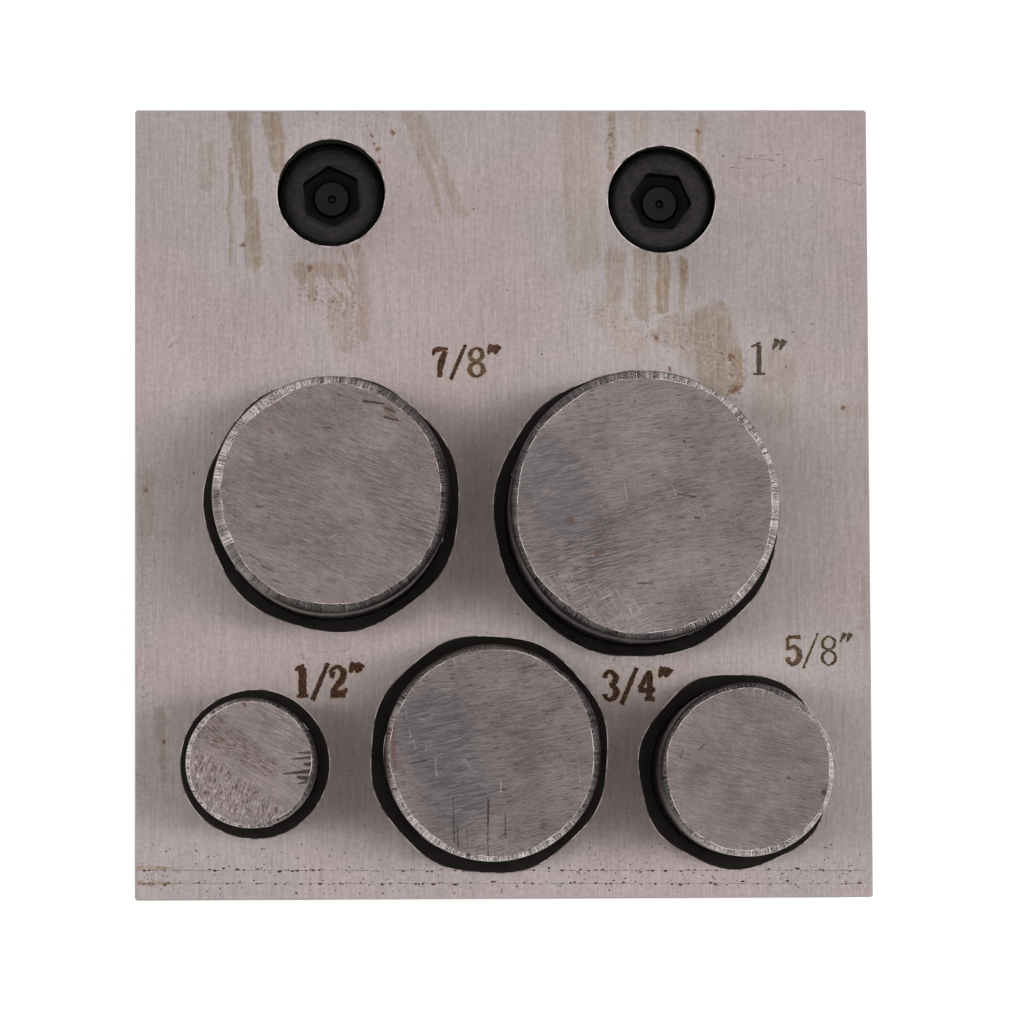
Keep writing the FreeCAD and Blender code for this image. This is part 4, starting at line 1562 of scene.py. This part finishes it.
def make_cap_screw_tree():
    """An M6 cap screw: head with a hexagon socket, and a threaded shank with a chamfered end."""
    group, t, given, out = new_group(
        "cap_screw",
        "GeometryNodeTree",
        {
            "Place": (0.0, 0.0, 0.0),
            "Turn": 0.0,
            "Segments": 96,
            "Finish": "NodeSocketMaterial",
            "Socket": "NodeSocketMaterial",
            "Floor": "NodeSocketMaterial",
        },
        {"Geometry": "NodeSocketGeometry"},
    )
    sixth = math.pi / 3

    def head(number, angle):
        within = t.minus(t.math("MODULO", angle, sixth), sixth / 2)
        flats = t.over(SOCKET_FLAT, t.math("COSINE", within))
        flats = t.smaller(flats, SOCKET_CORNER_LIMIT)
        slope = math.tan(math.radians(30))
        lead_in = t.times(t.minus(SOCKET_MOUTH_RADIUS, flats), slope)
        radii = [flats if radius is HEXAGON else radius for radius, _ in HEAD_PROFILE]
        heights = [height for _, height in HEAD_PROFILE]
        heights[MOUTH_RING] = t.minus(heights[MOUTH_RING], lead_in)
        return t.pick(number, radii), t.pick(number, heights)

    rings = round(SCREW_LENGTH / THREAD_PITCH * RINGS_PER_TURN) + 2

    def shank(number, angle):
        up = t.over(t.minus(number, 1), rings - 2, clamp=True)
        height = t.remap(up, 0.0, 1.0, -SCREW_LENGTH, 0.0, smooth=False)
        along = t.over(height, THREAD_PITCH)
        around = t.over(angle, 2 * math.pi)
        wave = t.math("PINGPONG", t.minus(along, around), 0.5)
        depth = t.times(wave, 2 * THREAD_DEPTH)
        fade = t.remap(height, -PLAIN_NECK, -PLAIN_NECK - THREAD_PITCH)
        radius = t.minus(SHANK_RADIUS, t.times(depth, fade))
        chamfer = t.plus(t.plus(height, SCREW_LENGTH), END_RADIUS)
        radius = t.smaller(radius, chamfer)
        return t.times(radius, t.smaller(number, 1)), height

    parts = t.add("GeometryNodeJoinGeometry")
    for ring_count, profile in ((len(HEAD_PROFILE), head), (rings, shank)):
        part = turned_surface(t, given["Segments"], ring_count, profile, given["Turn"])
        t.feed(parts.inputs[0], part)
    finishes = (
        # The rounded rim and the socket take darker blacks than the head: painted shade in the counterbore
        # and in the socket.
        (given["Finish"], 0, rings),
        (given["Floor"], FIRST_RIM_BAND, FIRST_RIM_BAND + 1),
        (given["Socket"], FIRST_DARK_BAND, FIRST_FLOOR_BAND - 1),
        (given["Floor"], FIRST_FLOOR_BAND, len(HEAD_PROFILE)),
    )
    close_up(t, parts.outputs[0], given["Place"], finishes, out["Geometry"])
    return group


def grown_piece(name, group, **values):
    """A finished piece whose mesh a geometry tree makes from its named inputs."""
    source = new_object(name, bpy.data.meshes.new(name + "_start"))
    modifier = source.modifiers.new(group.name, "NODES")
    modifier.node_group = group
    for socket in group.interface.items_tree:
        label = socket.name.replace(" ", "_")
        if socket.in_out == "INPUT" and label in values:
            modifier[socket.identifier] = values[label]
    graph = bpy.context.evaluated_depsgraph_get()
    data = bpy.data.meshes.new_from_object(
        source.evaluated_get(graph), preserve_all_data_layers=True, depsgraph=graph
    )
    bpy.data.objects.remove(source)
    data.name = name
    return finished_piece(data)


def replace_node(piece, body, node):
    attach(piece, body)
    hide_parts(node)


# --------------------------------------------------------------------------------------------------
# Stage
# --------------------------------------------------------------------------------------------------

CAMERA_PLACE = (-12.3, -29.1, 482.25)
CAMERA_TURN = (3.538, -1.634, -0.247)
CAMERA_LENS = 168.99
CAMERA_SENSOR = 36.0
CAMERA_CLIP = (0.01, 20.0)
FLOOR_DROP = 0.05
FLOOR_HALF = 4000.0
FLOOR_TONE = 0.85
FLOOR_GLOW = 0.45
ROOM_LIGHT = 0.85
LAMP_SIZE = 500.0
LAMP_AIM = (0.0, 0.0, 12.0)
LAMPS = (("key", (450.0, -20.0, 700.0), 0.9), ("fill", (-450.0, -20.0, 700.0), 0.45))


def make_camera():
    data = bpy.data.cameras.new("camera")
    data.lens = CAMERA_LENS
    data.sensor_width = CAMERA_SENSOR
    data.clip_start, data.clip_end = CAMERA_CLIP
    camera = new_object("camera", data)
    camera.location = Vector(CAMERA_PLACE) * MM
    camera.rotation_euler = Euler([math.radians(angle) for angle in CAMERA_TURN])
    bpy.context.scene.camera = camera


def seen_ray(t):
    """1 for a ray from the camera, a reflection or a refraction, and 0 for one that lights."""
    path = t.add("ShaderNodeLightPath").outputs
    seen = t.larger(path["Is Camera Ray"], path["Is Glossy Ray"])
    return t.larger(seen, path["Is Transmission Ray"])


def make_floor():
    material = bpy.data.materials.new("pale_floor")
    material.use_nodes = True
    t = Tree(material.node_tree)
    shader = material.node_tree.nodes["Principled BSDF"].inputs
    shader["Base Color"].default_value = grey(FLOOR_TONE)
    shader["Roughness"].default_value = 0.8
    shader["Specular IOR Level"].default_value = 0.1
    shader["Emission Color"].default_value = grey(1.0)
    t.feed(shader["Emission Strength"], t.times(seen_ray(t), FLOOR_GLOW))
    half, drop = FLOOR_HALF * MM, -FLOOR_DROP * MM
    data = bpy.data.meshes.new("floor")
    corners = [(-half, -half, drop), (half, -half, drop), (half, half, drop), (-half, half, drop)]
    data.from_pydata(corners, [], [(0, 1, 2, 3)])
    finished_piece(data, [material])


def make_world():
    world = bpy.data.worlds.new("studio")
    bpy.context.scene.world = world
    world.use_nodes = True
    t = Tree(world.node_tree)
    background = world.node_tree.nodes["Background"].inputs
    background["Color"].default_value = grey(1.0)
    t.feed(background["Strength"], t.remap(seen_ray(t), 0.0, 1.0, ROOM_LIGHT, 1.0, smooth=False))


def make_lamps():
    for name, place, power in LAMPS:
        data = bpy.data.lights.new(name, "AREA")
        data.shape = "DISK"
        data.size = LAMP_SIZE * MM
        data.energy = power
        lamp = new_object(name, data)
        lamp.location = Vector(place) * MM
        lamp.rotation_euler = (Vector(place) - Vector(LAMP_AIM)).to_track_quat("Z", "Y").to_euler()


# --------------------------------------------------------------------------------------------------
# Put together
# --------------------------------------------------------------------------------------------------

PLATE_SEED = 7

# Bevel round each struck end: width, drop and direction in degrees of its painted highlight
BEVELS = {
    "half_inch_punch": (0.35, 0.45, 205),
    "five_eighths_punch": (0.50, 0.65, -40),
    "three_quarter_punch": (0.55, 0.72, 240),
    "seven_eighths_punch": (0.80, 1.04, 155),
    "one_inch_punch": (0.65, 0.85, 15),
}
UNEVENNESS = 0.35
SCREW_TURNS = {"left_cap_screw": 95.0, "right_cap_screw": -6.0}


def add_guide_plate(plate_body, burnished_rim):
    materials = [
        ground_top_material(),
        blackened_material(),
        plate_body,
        burnished_rim,
        rust_halo_material(),
        scribed_material(),
        etched_material(),
    ]
    guide = guide_plate_piece(materials, random.Random(PLATE_SEED))
    replace_node(guide, "block", "guide_plate")


def add_punches(burnished_rim):
    tree = make_punch_tree()
    side = punch_side_material()
    bevel = punch_bevel_material()
    for seed, node in enumerate(PUNCH_NODES):
        low, high = node_box(node)
        bevel_width, bevel_drop, painted_highlight_side = BEVELS[node]
        punch = grown_piece(
            node + "_finished",
            tree,
            Place=(*axis_of(node), low.z),
            Radius=width_of(node) / 2,
            Length=high.z - low.z,
            Bevel_Width=bevel_width,
            Bevel_Drop=bevel_drop,
            Unevenness=UNEVENNESS,
            Bright_Side=math.radians(painted_highlight_side),
            Seed=float(seed),
            Side=side,
            Bevel=bevel,
            Edge=burnished_rim,
            End=struck_end_material(node),
        )
        replace_node(punch, node, node)


def add_screws():
    tree = make_cap_screw_tree()
    black_oxide = black_oxide_material()
    # Darker blacks for the socket walls and floor: painted shade.
    wall = painted_shade_black_material("socket_wall", 0.019)
    floor = painted_shade_black_material("socket_floor", 0.026)
    for node in SCREW_NODES:
        seat = node_box(node)[1].z - SCREW_HEAD_HEIGHT
        screw = grown_piece(
            node + "_finished",
            tree,
            Place=(*axis_of(node), seat),
            Turn=math.radians(SCREW_TURNS[node]),
            Finish=black_oxide,
            Socket=wall,
            Floor=floor,
        )
        replace_node(screw, "block", node)


def finish_plain_nodes(plate_body):
    """Gives the solids that stay as they are their materials."""
    ground_pin = ground_pin_material()
    for node in DOWEL_NODES:
        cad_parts[node].data.materials[0] = ground_pin
    for node in ("die_plate", "spacer_strip"):
        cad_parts[node].data.materials[0] = plate_body


plate_body = plate_body_material()
burnished_rim = painted_highlight_and_rub_material()
add_guide_plate(plate_body, burnished_rim)
add_punches(burnished_rim)
add_screws()
finish_plain_nodes(plate_body)
make_floor()
make_world()
make_lamps()
make_camera()
bpy.context.scene.view_settings.view_transform = "Standard"
